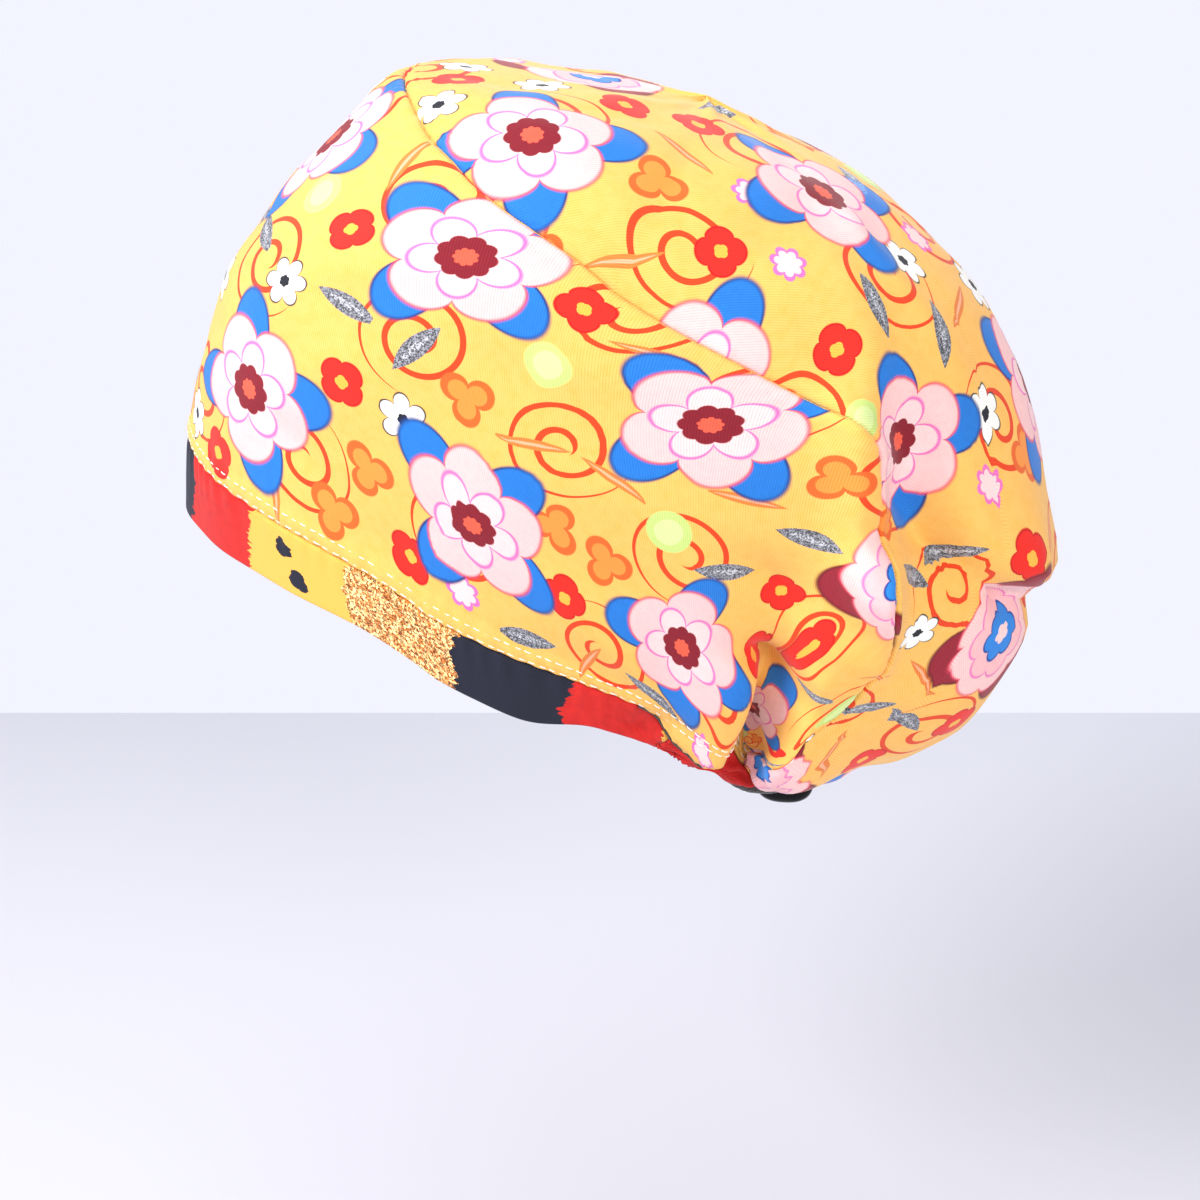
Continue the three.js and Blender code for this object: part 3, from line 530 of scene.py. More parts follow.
def seam_place(way, offset):
    """Turn and level of a place on the crown's seam, moved off it by a distance on the flat map."""
    side, share = np.where(way < 0, -1, 1), np.abs(way)
    before, after = np.maximum(share - STEP, 0), np.minimum(share + STEP, 1)
    turn, last_turn, next_turn = (along_table(SEAM_WAYS, SEAM_TURNS, at) for at in (share, before, after))
    level, last_level, next_level = (along_table(SEAM_WAYS, SEAM_LEVELS, at) for at in (share, before, after))
    run = unit(np.stack([(next_turn - last_turn) * MAP_AROUND, (next_level - last_level) * MAP_UP], -1))
    return side * (turn - run[..., 1] * offset / MAP_AROUND), level + run[..., 0] * offset / MAP_UP


def band_top(turn):
    """Level of the headband's seam: its height in metres over the length of a short step of level."""
    away = np.abs(turn - np.round(turn))
    height = along_table(BAND_TURNS, BAND_SHARES, away) * BAND_HEIGHT
    low, high = bag_place(turn, np.zeros_like(turn)), bag_place(turn, np.full_like(turn, BAND_STEP))
    return BAND_STEP * height / np.linalg.norm(high - low, axis=-1)


def turn_on_band(way):
    """Turn at which a column of the cloth meets the headband: even along the panel, and past the
    panel's end the turn that the crown's edge has there."""
    end = seam_place(np.array(PANEL_END_WAY), 0.0)[0]
    return np.where(np.abs(way) > PANEL_END_WAY, seam_place(way, 0.0)[0], end * way / PANEL_END_WAY)


def edge_shares(count, gathered=0.8):
    """Shares from 0 to 1 that lie closer together towards both ends."""
    even = np.linspace(0, 1, count)
    return between(even, (1 - np.cos(np.pi * even)) / 2, gathered)


def spans(places, axis):
    """Distance along each line of a grid from its start, the lines running along the axis."""
    steps = np.linalg.norm(np.diff(places, axis=axis), axis=-1)
    return np.concatenate([np.zeros_like(np.take(steps, [0], axis)), np.cumsum(steps, axis)], axis)


EDGE_ROUND = 0.48


def cloth_wall(turn, level, wall, relief, round_columns=False, dome=False):
    """Outer and inner grid of a wall of cloth, with the distances up it and round it. Relief moves the
    outer face by those distances, and both faces meet in a round at the wall's edges."""
    face = cap_place(turn, level)
    out = directions(cap_place, turn, level)[2]
    up = spans(face, 1)
    down = up[:, -1:] - up
    around = spans(face, 0)
    middle = around[len(around) // 2] if not round_columns else around[0]
    around = around - middle
    raised = relief(around, up, down)
    edge = up if dome else np.minimum(up, down)
    half = EDGE_ROUND * wall
    inset = half - np.sqrt(np.maximum(half**2 - np.maximum(half - edge, 0) ** 2, 0))
    outer = face + out * (raised - inset)[..., None]
    inner = face + out * (raised - wall + inset)[..., None]
    return outer, inner, around, up


def wall_mesh(name, outer, inner, uv, materials, round_columns=False, dome=False):
    """A closed wall from its two faces: the outer rows, then the inner rows back down. The mark
    wrong_side is 1 on the inner face. Open ends are closed by quads between the faces."""
    columns, rows = outer.shape[:2]
    places = np.concatenate([outer, inner[:, ::-1]], 1)
    quads = grid_quads(columns, 2 * rows, round_columns, True)
    if dome:
        quads = np.delete(quads, rows - 1, axis=1)
    quads = quads.reshape(-1, 4)
    if not round_columns:
        j = np.arange(rows - 1)
        last = (columns - 1) * 2 * rows
        start = np.stack([j, j + 1, 2 * rows - 2 - j, 2 * rows - 1 - j], -1)
        quads = np.concatenate([quads, start, (start + last)[:, ::-1]])
    wrong_side = np.zeros((columns, 2 * rows))
    wrong_side[:, rows + 2:-2] = 1
    return make_mesh(name, places, quads, materials, np.concatenate([uv, uv[:, ::-1]], 1),
                     {"wrong_side": wrong_side})


SEAM_DITCH = 0.0010
SEAM_DITCH_WIDTH = 0.0009
SEAM_PUFF = 0.0004
SEAM_PUFF_AWAY = 0.0032
SEAM_PUFF_WIDTH = 0.0026
SEAM_PUCKER = 0.00022
SEAM_PUCKER_LENGTH = 0.0052
SEAM_PUCKER_REACH = 0.0055
WELT_HEIGHT = 0.00055
WELT_WIDTH = 0.0062
WELT_START = 0.0006
WELT_EDGE = 0.0003
WELT_PUCKER = 0.00030
WELT_PUCKER_LENGTH = 0.0066
WELT_PUCKER_REACH = 0.009
STITCH_LINES = (0.0014, 0.0050)
STITCH_PINCH = 0.00028
STITCH_PINCH_WIDTH = 0.0006
WANDER_RIPPLES = 7.3


def ripples(around, wave_length, wander):
    """Uneven ripples from -1 to 1 along a seam, a sine whose phase wanders slowly."""
    drift = np.sin(2 * np.pi * around / (WANDER_RIPPLES * wave_length))
    return np.sin(2 * np.pi * around / wave_length + wander * drift)


def seam_relief(around, distance):
    """A plain seam seen from outside: the cloth dips into it, stands slightly puffed beside it, and
    ripples where the thread draws it."""
    dip = -SEAM_DITCH * np.exp(-distance / SEAM_DITCH_WIDTH)
    puff = SEAM_PUFF * np.exp(-(((distance - SEAM_PUFF_AWAY) / SEAM_PUFF_WIDTH) ** 2))
    pucker = SEAM_PUCKER * ripples(around, SEAM_PUCKER_LENGTH, 1.8)
    return dip + puff + pucker * np.exp(-((distance / SEAM_PUCKER_REACH) ** 2))


def panel_relief(around, up, down):
    """The seam allowance under the topstitching stands up as a welt, pinched along both thread lines."""
    starts, ends = 1 - np.exp(-((up / WELT_START) ** 2)), 1 + np.exp((up - WELT_WIDTH) / WELT_EDGE)
    pinch = sum(np.exp(-(((up - line) / STITCH_PINCH_WIDTH) ** 2)) for line in STITCH_LINES)
    pucker = WELT_PUCKER * ripples(around, WELT_PUCKER_LENGTH, 2.2)
    pucker = pucker * np.exp(-((up / WELT_PUCKER_REACH) ** 2))
    return WELT_HEIGHT * starts / ends - STITCH_PINCH * pinch + pucker + seam_relief(around, down)


PANEL_COLUMNS = 441
PANEL_ROWS = 72
way = np.linspace(-PANEL_END_WAY, PANEL_END_WAY, PANEL_COLUMNS)[:, None]
share = edge_shares(PANEL_ROWS)[None, :]
seam_turn, seam_level = seam_place(way, -SEAM_CLEARANCE)
low_turn = turn_on_band(way)
turn = between(low_turn, seam_turn, share)
level = between(band_top(low_turn) + SEAM_CLEARANCE / MAP_UP, seam_level, share)
outer, inner, around, up = cloth_wall(turn, level, PANEL_WALL, panel_relief)

# The print is a garden of flowers on warm yellow: large pink blossoms with blue leaves, and small
# flowers, leaves, seeds and curled tendrils between them. Colours are linear, as printed.
YELLOW = (0.920, 0.508, 0.126, 1)
DEEP_YELLOW = (0.900, 0.470, 0.098, 1)
WRONG_SIDE_YELLOW = (0.900, 0.600, 0.220, 1)
WRONG_SIDE_SHARE = 0.78
BLOSSOM_CELL = 0.077
BLOSSOM_CLEAR = 0.0270
SMALL_CELL = 0.0225
TENDRIL_CELL = 0.052
TENDRIL_PITCH = 0.0082
TENDRIL_REACH = 0.0190
TENDRIL_START = 0.0030
TENDRIL_HALF_SHARE = 0.115
TENDRIL_BEND = 0.007
TENDRIL_WAVES = 26
TENDRIL_EDGE = 0.02
INK_EDGE = 0.035
WASH_SHADE = 0.6
WASH_LOWEST = 0.80
TWILL_PITCH = 0.00088
TWILL_SLANT = 0.72
RIB_SHARE = 0.62
PANEL_PRINT_SHIFT = (0.032, 0.0)

LEAF_BLUE = (0.015, 0.185, 0.640, 1)
LEAF_BLUE_EDGE = (0.010, 0.035, 0.190, 1)
LEAF_WINE = (0.300, 0.014, 0.030, 1)
LEAF_WINE_EDGE = (0.130, 0.006, 0.012, 1)
PETAL_PINK = (0.930, 0.560, 0.555, 1)
PETAL_EDGE = (0.780, 0.050, 0.110, 1)
PALE_PINK = (0.930, 0.640, 0.640, 1)
PEONY_PINK = (0.940, 0.590, 0.575, 1)
PEONY_ROSE = (0.930, 0.500, 0.520, 1)
LILAC_LINE = (0.800, 0.160, 0.480, 1)
EYE_WINE = (0.230, 0.008, 0.020, 1)
EYE_CORAL = (0.850, 0.110, 0.060, 1)
EYE_BLUE = (0.020, 0.230, 0.720, 1)
EYE_BLUE_EDGE = (0.010, 0.060, 0.330, 1)
POPPY_RED = (0.800, 0.020, 0.012, 1)
POPPY_EDGE = (0.560, 0.006, 0.006, 1)
POPPY_EYE = (0.880, 0.450, 0.060, 1)
INK_BLACK = (0.012, 0.014, 0.022, 1)
DAISY_WHITE = (0.890, 0.880, 0.850, 1)
SILVER = (0.170, 0.175, 0.200, 1)
SILVER_RIB = (0.300, 0.310, 0.340, 1)
SEED_GREEN = (0.560, 0.720, 0.210, 1)
SEED_PALE = (0.660, 0.800, 0.330, 1)
CLOVER_ORANGE = (0.880, 0.290, 0.050, 1)
CLOVER_EDGE = (0.780, 0.130, 0.020, 1)
BLADE_ORANGE = (0.760, 0.210, 0.040, 1)
BLADE_RIB = (0.880, 0.420, 0.240, 1)
TENDRIL_RED = (0.760, 0.055, 0.010, 1)

# Layers of a blossom, the lowest first: petals, radius in metres, depth of the notches as a share of
# the radius, how round the petals are, turn in radians, and colour.
BLOSSOM = [
    (4, 0.0316, 0.74, 1.30, 0.40, LEAF_BLUE_EDGE),
    (4, 0.0306, 0.76, 1.40, 0.40, LEAF_BLUE),
    (5, 0.0232, 0.30, 0.60, 0.00, PETAL_EDGE),
    (5, 0.0224, 0.31, 0.62, 0.00, PETAL_PINK),
    (5, 0.0152, 0.46, 0.80, 0.63, LILAC_LINE),
    (5, 0.0141, 0.48, 0.84, 0.63, PALE_PINK),
    (9, 0.0078, 0.14, 0.90, 0.00, EYE_WINE),
    (9, 0.0032, 0.20, 0.90, 0.20, EYE_CORAL),
]
# Layers of the second kind of large flower, in the same columns: a round peony on wine red leaves.
PEONY = [
    (3, 0.0296, 0.66, 1.20, 0.20, LEAF_WINE_EDGE),
    (3, 0.0286, 0.68, 1.25, 0.20, LEAF_WINE),
    (8, 0.0214, 0.13, 0.55, 0.00, PETAL_EDGE),
    (8, 0.0207, 0.14, 0.55, 0.00, PEONY_PINK),
    (7, 0.0152, 0.20, 0.60, 0.30, LILAC_LINE),
    (7, 0.0144, 0.21, 0.62, 0.30, PEONY_ROSE),
    (6, 0.0090, 0.24, 0.70, 0.10, EYE_BLUE_EDGE),
    (6, 0.0082, 0.25, 0.72, 0.10, EYE_BLUE),
    (5, 0.0034, 0.30, 0.70, 0.00, PALE_PINK),
]
# Small motifs in the same columns. A leaf layer has its length, width and colour alone.
POPPY = [
    (4, 0.0078, 0.24, 0.60, 0.00, POPPY_EDGE),
    (4, 0.0071, 0.25, 0.60, 0.00, POPPY_RED),
    (4, 0.0022, 0.20, 0.80, 0.80, POPPY_EYE),
]
DAISY = [
    (6, 0.0084, 0.42, 0.70, 0.00, INK_BLACK),
    (6, 0.0078, 0.43, 0.70, 0.00, DAISY_WHITE),
    (6, 0.0020, 0.20, 0.80, 0.50, INK_BLACK),
]
SILVER_LEAF = [
    (0.0215, 0.0064, SILVER),
    (0.0150, 0.0020, SILVER_RIB),
]
SEED = [
    (1, 0.0072, 0.06, 1.00, 0.00, SEED_GREEN),
    (2, 0.0046, 0.10, 1.00, 0.00, SEED_PALE),
]
CLOVER = [
    (3, 0.0088, 0.52, 0.80, 0.00, CLOVER_EDGE),
    (3, 0.0064, 0.60, 0.90, 0.00, CLOVER_ORANGE),
]
BLADE = [
    (0.0235, 0.0034, BLADE_ORANGE),
    (0.0190, 0.0010, BLADE_RIB),
]
LILAC_STAR = [
    (7, 0.0058, 0.30, 0.70, 0.00, LILAC_LINE),
    (7, 0.0044, 0.32, 0.70, 0.00, PALE_PINK),
]
# Where each small motif begins and ends in a cell's random number.
SMALL_MOTIFS = [
    (0.00, 0.17, POPPY),
    (0.17, 0.33, DAISY),
    (0.33, 0.50, SILVER_LEAF),
    (0.50, 0.62, SEED),
    (0.62, 0.76, CLOVER),
    (0.76, 0.90, BLADE),
    (0.90, 1.01, LILAC_STAR),
]
BLOSSOM_SHARE = 0.55


def new_group(name, inputs, outputs):
    """An empty group of shader nodes with named inputs and outputs, and the sockets inside it."""
    tree = bpy.data.node_groups.new(name, "ShaderNodeTree")
    for label, kind in inputs.items():
        tree.interface.new_socket(label, in_out="INPUT", socket_type="NodeSocket" + kind)
    for label, kind in outputs.items():
        tree.interface.new_socket(label, in_out="OUTPUT", socket_type="NodeSocket" + kind)
    return tree, tree.nodes.new("NodeGroupInput").outputs, tree.nodes.new("NodeGroupOutput").inputs


def use_group(tree, group, **inputs):
    """Outputs of a group placed in a tree with its inputs set or linked."""
    named = {name.replace("_", " "): value for name, value in inputs.items()}
    return add_node(tree, "Group", named, node_tree=group).outputs


def vector_maths(tree, operation, *values):
    """A vector worked out from vectors or sockets."""
    return add_node(tree, "VectorMath", dict(enumerate(values)), operation=operation).outputs[0]


def length_of(tree, vector):
    """The length of a vector."""
    return add_node(tree, "VectorMath", {0: vector}, operation="LENGTH").outputs["Value"]


def split(tree, vector):
    """The three numbers of a vector or colour."""
    return add_node(tree, "SeparateXYZ", {0: vector}).outputs


def joined(tree, x, y, z=0.0):
    """A vector of three numbers."""
    return add_node(tree, "CombineXYZ", {0: x, 1: y, 2: z}).outputs[0]


KIND_SEED = 17


def scattered_cells():
    """Cells in a half-drop layout, each with its middle moved at random and turned at random: the
    place from that middle, the middle on the cloth, and a random number for the cell."""
    tree, given, result = new_group(
        "scattered_cells", {"Place": "Vector", "Size": "Float", "Jitter": "Float", "Seed": "Float"},
        {"Local": "Vector", "Centre": "Vector", "Kind": "Float"})
    place = split(tree, vector_maths(tree, "DIVIDE", given["Place"], given["Size"]))
    row = maths(tree, "FLOOR", place[1])
    drop = maths(tree, "FRACT", maths(tree, "MULTIPLY", row, 0.5))
    x = maths(tree, "ADD", place[0], drop)
    column = maths(tree, "FLOOR", x)
    random = add_node(tree, "TexWhiteNoise", {"Vector": joined(tree, column, row, given["Seed"])})
    chance = split(tree, random.outputs["Color"])
    other_seed = maths(tree, "ADD", given["Seed"], KIND_SEED)
    other = add_node(tree, "TexWhiteNoise", {"Vector": joined(tree, column, row, other_seed)})
    middle = []
    for start, number in ((column, chance[0]), (row, chance[1])):
        moved = maths(tree, "MULTIPLY", maths(tree, "SUBTRACT", number, 0.5), given["Jitter"])
        middle.append(maths(tree, "ADD", maths(tree, "ADD", start, 0.5), moved))
    aside, above = maths(tree, "SUBTRACT", x, middle[0]), maths(tree, "SUBTRACT", place[1], middle[1])
    local = vector_maths(tree, "MULTIPLY", joined(tree, aside, above), given["Size"])
    angle = maths(tree, "MULTIPLY", chance[2], 2 * math.pi)
    turned = add_node(tree, "VectorRotate", {"Vector": local, "Angle": angle}, rotation_type="Z_AXIS")
    centre = joined(tree, maths(tree, "SUBTRACT", middle[0], drop), middle[1])
    centre = vector_maths(tree, "MULTIPLY", centre, given["Size"])
    tree.links.new(turned.outputs[0], result["Local"])
    tree.links.new(centre, result["Centre"])
    tree.links.new(other.outputs["Value"], result["Kind"])
    return tree


def petal_form():
    """Distance from the middle over the flower's radius in that direction, which is the full radius
    times 1 - depth + depth |cos(n a / 2)|^roundness for n petals at an angle a."""
    tree, given, result = new_group(
        "petal_form", {"Local": "Vector", "Petals": "Float", "Radius": "Float", "Depth": "Float",
                       "Roundness": "Float", "Turn": "Float"}, {"Reach": "Float"})
    place = split(tree, given["Local"])
    angle = maths(tree, "ADD", maths(tree, "ARCTAN2", place[1], place[0]), given["Turn"])
    half = maths(tree, "MULTIPLY", maths(tree, "MULTIPLY", angle, given["Petals"]), 0.5)
    wave = maths(tree, "POWER", maths(tree, "ABSOLUTE", maths(tree, "COSINE", half)), given["Roundness"])
    notch = maths(tree, "MULTIPLY", given["Depth"], maths(tree, "SUBTRACT", 1.0, wave))
    radius = maths(tree, "MULTIPLY", given["Radius"], maths(tree, "SUBTRACT", 1.0, notch))
    tree.links.new(maths(tree, "DIVIDE", length_of(tree, given["Local"]), radius), result["Reach"])
    return tree


def leaf_form():
    """A pointed leaf: under 1 inside two parabolas that meet at its tips."""
    tree, given, result = new_group(
        "leaf_form", {"Local": "Vector", "Length": "Float", "Width": "Float"}, {"Reach": "Float"})
    place = split(tree, given["Local"])
    along, aside = (
        maths(tree, "ABSOLUTE", maths(tree, "DIVIDE", maths(tree, "MULTIPLY", place[axis], 2.0), given[size]))
        for axis, size in ((0, "Length"), (1, "Width")))
    tree.links.new(maths(tree, "ADD", aside, maths(tree, "POWER", along, 2.0)), result["Reach"])
    return tree


def inked(tree, colour, reach, ink, chosen):
    """Colour with an ink printed where the reach is under 1, in the cells that are chosen."""
    share = maths(tree, "MULTIPLY", ramp(tree, reach, 1 - INK_EDGE, 1 + INK_EDGE, 1.0, 0.0), chosen)
    return mix_colours(tree, share, colour, ink), share


def motif_reach(tree, petal, leaf, local, layer):
    """How far out a place lies in a layer of a motif: 1 at the layer's edge."""
    if len(layer) == 3:
        length, width, _ = layer
        return use_group(tree, leaf, Local=local, Length=length, Width=width)["Reach"]
    petals, radius, depth, roundness, turn, _ = layer
    return use_group(tree, petal, Local=local, Petals=petals, Radius=radius, Depth=depth,
                     Roundness=roundness, Turn=turn)["Reach"]


def tendrils(tree, cells, place):
    """A share that is 1 on the curled tendrils. In each cell a line runs outwards by its pitch in each
    turn, between a start and a reach. It thins towards its end, and slow noise bends it."""
    curls = use_group(tree, cells, Place=place, Size=TENDRIL_CELL, Jitter=0.25, Seed=29)
    waves = {"Vector": place, "Scale": TENDRIL_WAVES, "Detail": 0.0}
    bend = add_node(tree, "TexNoise", waves).outputs["Color"]
    bend = vector_maths(tree, "SUBTRACT", bend, (0.5, 0.5, 0.5))
    bend = vector_maths(tree, "MULTIPLY", bend, (TENDRIL_BEND, TENDRIL_BEND, 0))
    local = vector_maths(tree, "ADD", curls["Local"], bend)
    spot = split(tree, local)
    from_middle = length_of(tree, local)
    turns = maths(tree, "DIVIDE", maths(tree, "ARCTAN2", spot[1], spot[0]), 2 * math.pi)
    pitches = maths(tree, "DIVIDE", from_middle, TENDRIL_PITCH)
    coil = maths(tree, "FRACT", maths(tree, "SUBTRACT", pitches, turns))
    line = maths(tree, "ABSOLUTE", maths(tree, "SUBTRACT", coil, 0.5))
    thinner = maths(tree, "POWER", maths(tree, "DIVIDE", from_middle, TENDRIL_REACH), 6.0)
    line = maths(tree, "ADD", line, maths(tree, "MULTIPLY", thinner, TENDRIL_HALF_SHARE))
    inside = maths(tree, "MULTIPLY", maths(tree, "LESS_THAN", from_middle, TENDRIL_REACH),
                   maths(tree, "GREATER_THAN", from_middle, TENDRIL_START))
    edge = ramp(tree, line, TENDRIL_HALF_SHARE, TENDRIL_HALF_SHARE + TENDRIL_EDGE, 1.0, 0.0)
    return maths(tree, "MULTIPLY", edge, inside)


def floral_print(cells, petal, leaf):
    """The printed garden: Color of the cloth and Glitter, which is 1 on the silver leaves. Small motifs
    keep clear of the large flowers."""
    tree, given, result = new_group(
        "floral_print", {"Place": "Vector"}, {"Color": "Color", "Glitter": "Float"})
    place = given["Place"]
    mottled = noise(tree, place, 260, 3, 0.6)
    colour = mix_colours(tree, ramp(tree, mottled, 0.35, 0.75), YELLOW, DEEP_YELLOW)
    colour = mix_colours(tree, tendrils(tree, cells, place), colour, TENDRIL_RED)

    large = use_group(tree, cells, Place=place, Size=BLOSSOM_CELL, Jitter=0.08, Seed=3)
    small = use_group(tree, cells, Place=place, Size=SMALL_CELL, Jitter=0.30, Seed=11)
    under = use_group(tree, cells, Place=small["Centre"], Size=BLOSSOM_CELL, Jitter=0.08, Seed=3)
    clear = maths(tree, "GREATER_THAN", length_of(tree, under["Local"]), BLOSSOM_CLEAR)
    glitter = 0.0
    for start, end, layers in SMALL_MOTIFS:
        chosen = maths(tree, "MULTIPLY", maths(tree, "GREATER_THAN", small["Kind"], start),
                       maths(tree, "LESS_THAN", small["Kind"], end))
        chosen = maths(tree, "MULTIPLY", chosen, clear)
        for layer in layers:
            reach = motif_reach(tree, petal, leaf, small["Local"], layer)
            colour, share = inked(tree, colour, reach, layer[-1], chosen)
            if layer is SILVER_LEAF[0]:
                glitter = share

    wash = ramp(tree, noise(tree, place, 420, 3, 0.6), 0.3, 0.8, 1.0, WASH_LOWEST)
    for layers, test in ((BLOSSOM, "LESS_THAN"), (PEONY, "GREATER_THAN")):
        chosen = maths(tree, test, large["Kind"], BLOSSOM_SHARE)
        for layer in layers:
            reach = motif_reach(tree, petal, leaf, large["Local"], layer)
            faded = tuple(WASH_SHADE * part for part in layer[-1][:3]) + (1,)
            colour, _ = inked(tree, colour, reach, mix_colours(tree, wash, faded, layer[-1]), chosen)
    tree.links.new(colour, result["Color"])
    tree.links.new(glitter, result["Glitter"])
    return tree


def twill_weave():
    """Height of a twill: slanted ribs of thread, broken up by the threads' own unevenness."""
    tree, given, result = new_group(
        "twill_weave", {"Place": "Vector", "Pitch": "Float"}, {"Height": "Float"})
    place = split(tree, given["Place"])
    slant = maths(tree, "ADD", place[0], maths(tree, "MULTIPLY", place[1], TWILL_SLANT))
    phase = maths(tree, "DIVIDE", maths(tree, "MULTIPLY", slant, math.pi), given["Pitch"])
    rib = maths(tree, "ABSOLUTE", maths(tree, "SINE", phase))
    slub = noise(tree, given["Place"], 1500, 3, 0.6)
    height = maths(tree, "ADD", maths(tree, "MULTIPLY", rib, RIB_SHARE),
                   maths(tree, "MULTIPLY", slub, 1 - RIB_SHARE))
    tree.links.new(height, result["Height"])
    return tree


cells_group = scattered_cells()
petal_group = petal_form()
print_group = floral_print(cells_group, petal_group, leaf_form())
twill_group = twill_weave()


def cloth_finish(tree, shader, place, colour, wrong_colour, glitter):
    """Woven cotton under its print: the ribs raise it, with painted shade in their grooves and painted
    light on their tops; glitter has painted glints and dark grains at random; and the wrong side
    shows the ground's colour with a little of the print."""
    height = use_group(tree, twill_group, Place=place, Pitch=TWILL_PITCH)["Height"]
    # Painted glints: in the glitter, random grains brighten the colour up to 2.1 times and darken it to 0.35.
    grains = add_node(tree, "TexVoronoi", {"Vector": place, "Scale": 2400}).outputs["Color"]
    painted_glint = ramp(tree, split(tree, grains)[0], 0.15, 0.95, 0.35, 2.1)
    lit = vector_maths(tree, "MULTIPLY", colour, joined(tree, painted_glint, painted_glint, painted_glint))
    colour = mix_colours(tree, glitter, colour, lit)
    wrong = add_node(tree, "Attribute", attribute_name="wrong_side").outputs["Fac"]
    colour = mix_colours(tree, maths(tree, "MULTIPLY", wrong, WRONG_SIDE_SHARE), colour, wrong_colour)
    # Painted shade and light: the colour is darkened in the twill's grooves and lightened on its ribs, by
    # their height.
    shade = ramp(tree, height, 0.0, 1.0, 0.82, 1.06)
    colour = vector_maths(tree, "MULTIPLY", colour, joined(tree, shade, shade, shade))
    smoother = maths(tree, "MULTIPLY", glitter, 0.35)
    rough = maths(tree, "SUBTRACT", ramp(tree, height, 0, 1, 0.88, 0.74), smoother)
    tree.links.new(colour, shader["Base Color"])
    tree.links.new(rough, shader["Roughness"])
    tree.links.new(bump(tree, height, 0.35, 0.00018), shader["Normal"])


printed_cotton, tree, shader = new_material(
    "printed_cotton", 0.82, Specular_IOR_Level=0.30, Sheen_Weight=0.20, Sheen_Roughness=0.40)
place = add_node(tree, "UVMap", uv_map="cloth").outputs[0]
garden = use_group(tree, print_group, Place=place)
cloth_finish(tree, shader, place, garden["Color"], WRONG_SIDE_YELLOW, garden["Glitter"])

uv = np.stack([around, up], -1) + np.array(PANEL_PRINT_SHIFT)
front_panel = wall_mesh("front_panel_cloth", outer, inner, uv, [printed_cotton])
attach(front_panel, "root")
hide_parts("front_panel")

# Crown: one large oval of the same cotton, sewn to the panel in front and at the sides. Behind, all
# its fullness is gathered into the casing, and it hangs there as a pouch. The print follows the cloth
# as cut: the crown's form is laid flat with the least stretch, and the flat map becomes its UV map.
CROWN_WALL = 0.0012
CROWN_COLUMNS = 440
CROWN_ROWS = 92
UNWRAP_ROUNDS = 60
FLAT_COLUMNS = 88
FLAT_ROWS = 26
PRINT_SHIFT = (0.31, 0.17)


def crown_places(way, share):
    """Turn and level up the crown from the panel's seam, or past the panel's end from the casing."""
    seam_turn, seam_level = seam_place(way, SEAM_CLEARANCE)
    casing_top = band_top(seam_turn) + SEAM_CLEARANCE / MAP_UP
    low = np.where(np.abs(way) > PANEL_END_WAY, casing_top, seam_level)
    level = between(low, 1, share)
    return np.broadcast_to(seam_turn, level.shape), level


def crown_relief(around, up, down):
    """The crown's own side of the seam, and nothing elsewhere."""
    return seam_relief(around, up)


def laid_flat(places):
    """Flat map of a dome's grid of places, in metres: the dome is unwrapped with the least stretch
    and scaled so that the map has the cloth's own area."""
    columns, rows = places.shape[:2]
    quads = grid_quads(columns, rows, round_columns=True)
    work = make_mesh("crown_laid_flat", places, quads, [])
    bpy.context.view_layer.objects.active = work
    work.select_set(True)
    work.data.uv_layers.new(name="flat")
    bpy.ops.object.mode_set(mode="EDIT")
    bpy.ops.mesh.select_all(action="SELECT")
    bpy.ops.uv.unwrap(method="MINIMUM_STRETCH", fill_holes=True, iterations=UNWRAP_ROUNDS)
    bpy.ops.object.mode_set(mode="OBJECT")
    mesh = work.data
    corners = np.empty(len(mesh.loops), int)
    mesh.loops.foreach_get("vertex_index", corners)
    flat = np.empty(2 * len(corners))
    mesh.uv_layers["flat"].data.foreach_get("uv", flat)
    spots = np.empty(3 * len(mesh.vertices))
    mesh.vertices.foreach_get("co", spots)
    of_vertex = np.zeros((len(mesh.vertices), 2))
    of_vertex[corners] = flat.reshape(-1, 2)
    spots = spots.reshape(-1, 3)
    areas = np.empty(len(mesh.polygons))
    mesh.polygons.foreach_get("area", areas)
    bpy.data.objects.remove(work)
    flat_map = np.zeros((columns, rows, 2))
    for row in range(rows):
        near = np.linalg.norm(spots[None] - places[:, row, None], axis=-1).argmin(1)
        flat_map[:, row] = of_vertex[near]
    square = flat_map.reshape(-1, 2)[quads.reshape(-1, 4)]
    across, over = square[:, 2] - square[:, 0], square[:, 3] - square[:, 1]
    flat_area = np.abs(across[:, 0] * over[:, 1] - across[:, 1] * over[:, 0]).sum() / 2
    return flat_map * math.sqrt(areas.sum() / flat_area)


def on_fine_grid(coarse, columns, shares):
    """A coarse grid's map read at the finer grid's places, in straight lines between its own."""
    rows = coarse.shape[1] - 1
    row = np.clip((shares * rows).astype(int), 0, rows - 1)
    rest = (shares * rows - row)[None, :, None]
    lifted = coarse[:, row] * (1 - rest) + coarse[:, row + 1] * rest
    at = np.arange(columns) * len(coarse) / columns
    column = at.astype(int)
    rest = (at - column)[:, None, None]
    return lifted[column] * (1 - rest) + lifted[(column + 1) % len(coarse)] * rest


way = np.linspace(-1, 1, FLAT_COLUMNS, endpoint=False)[:, None]
flat_map = laid_flat(cap_place(*crown_places(way, np.linspace(0, 1, FLAT_ROWS)[None, :])))
way = np.linspace(-1, 1, CROWN_COLUMNS, endpoint=False)[:, None]
share = edge_shares(CROWN_ROWS)
turn, level = crown_places(way, share[None, :])
outer, inner, around, up = cloth_wall(turn, level, CROWN_WALL, crown_relief, True, True)
uv = on_fine_grid(flat_map, CROWN_COLUMNS, share) + np.array(PRINT_SHIFT)
crown = wall_mesh("crown_cloth", outer, inner, uv, [printed_cotton], True, True)
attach(crown, "root")
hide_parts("crown")

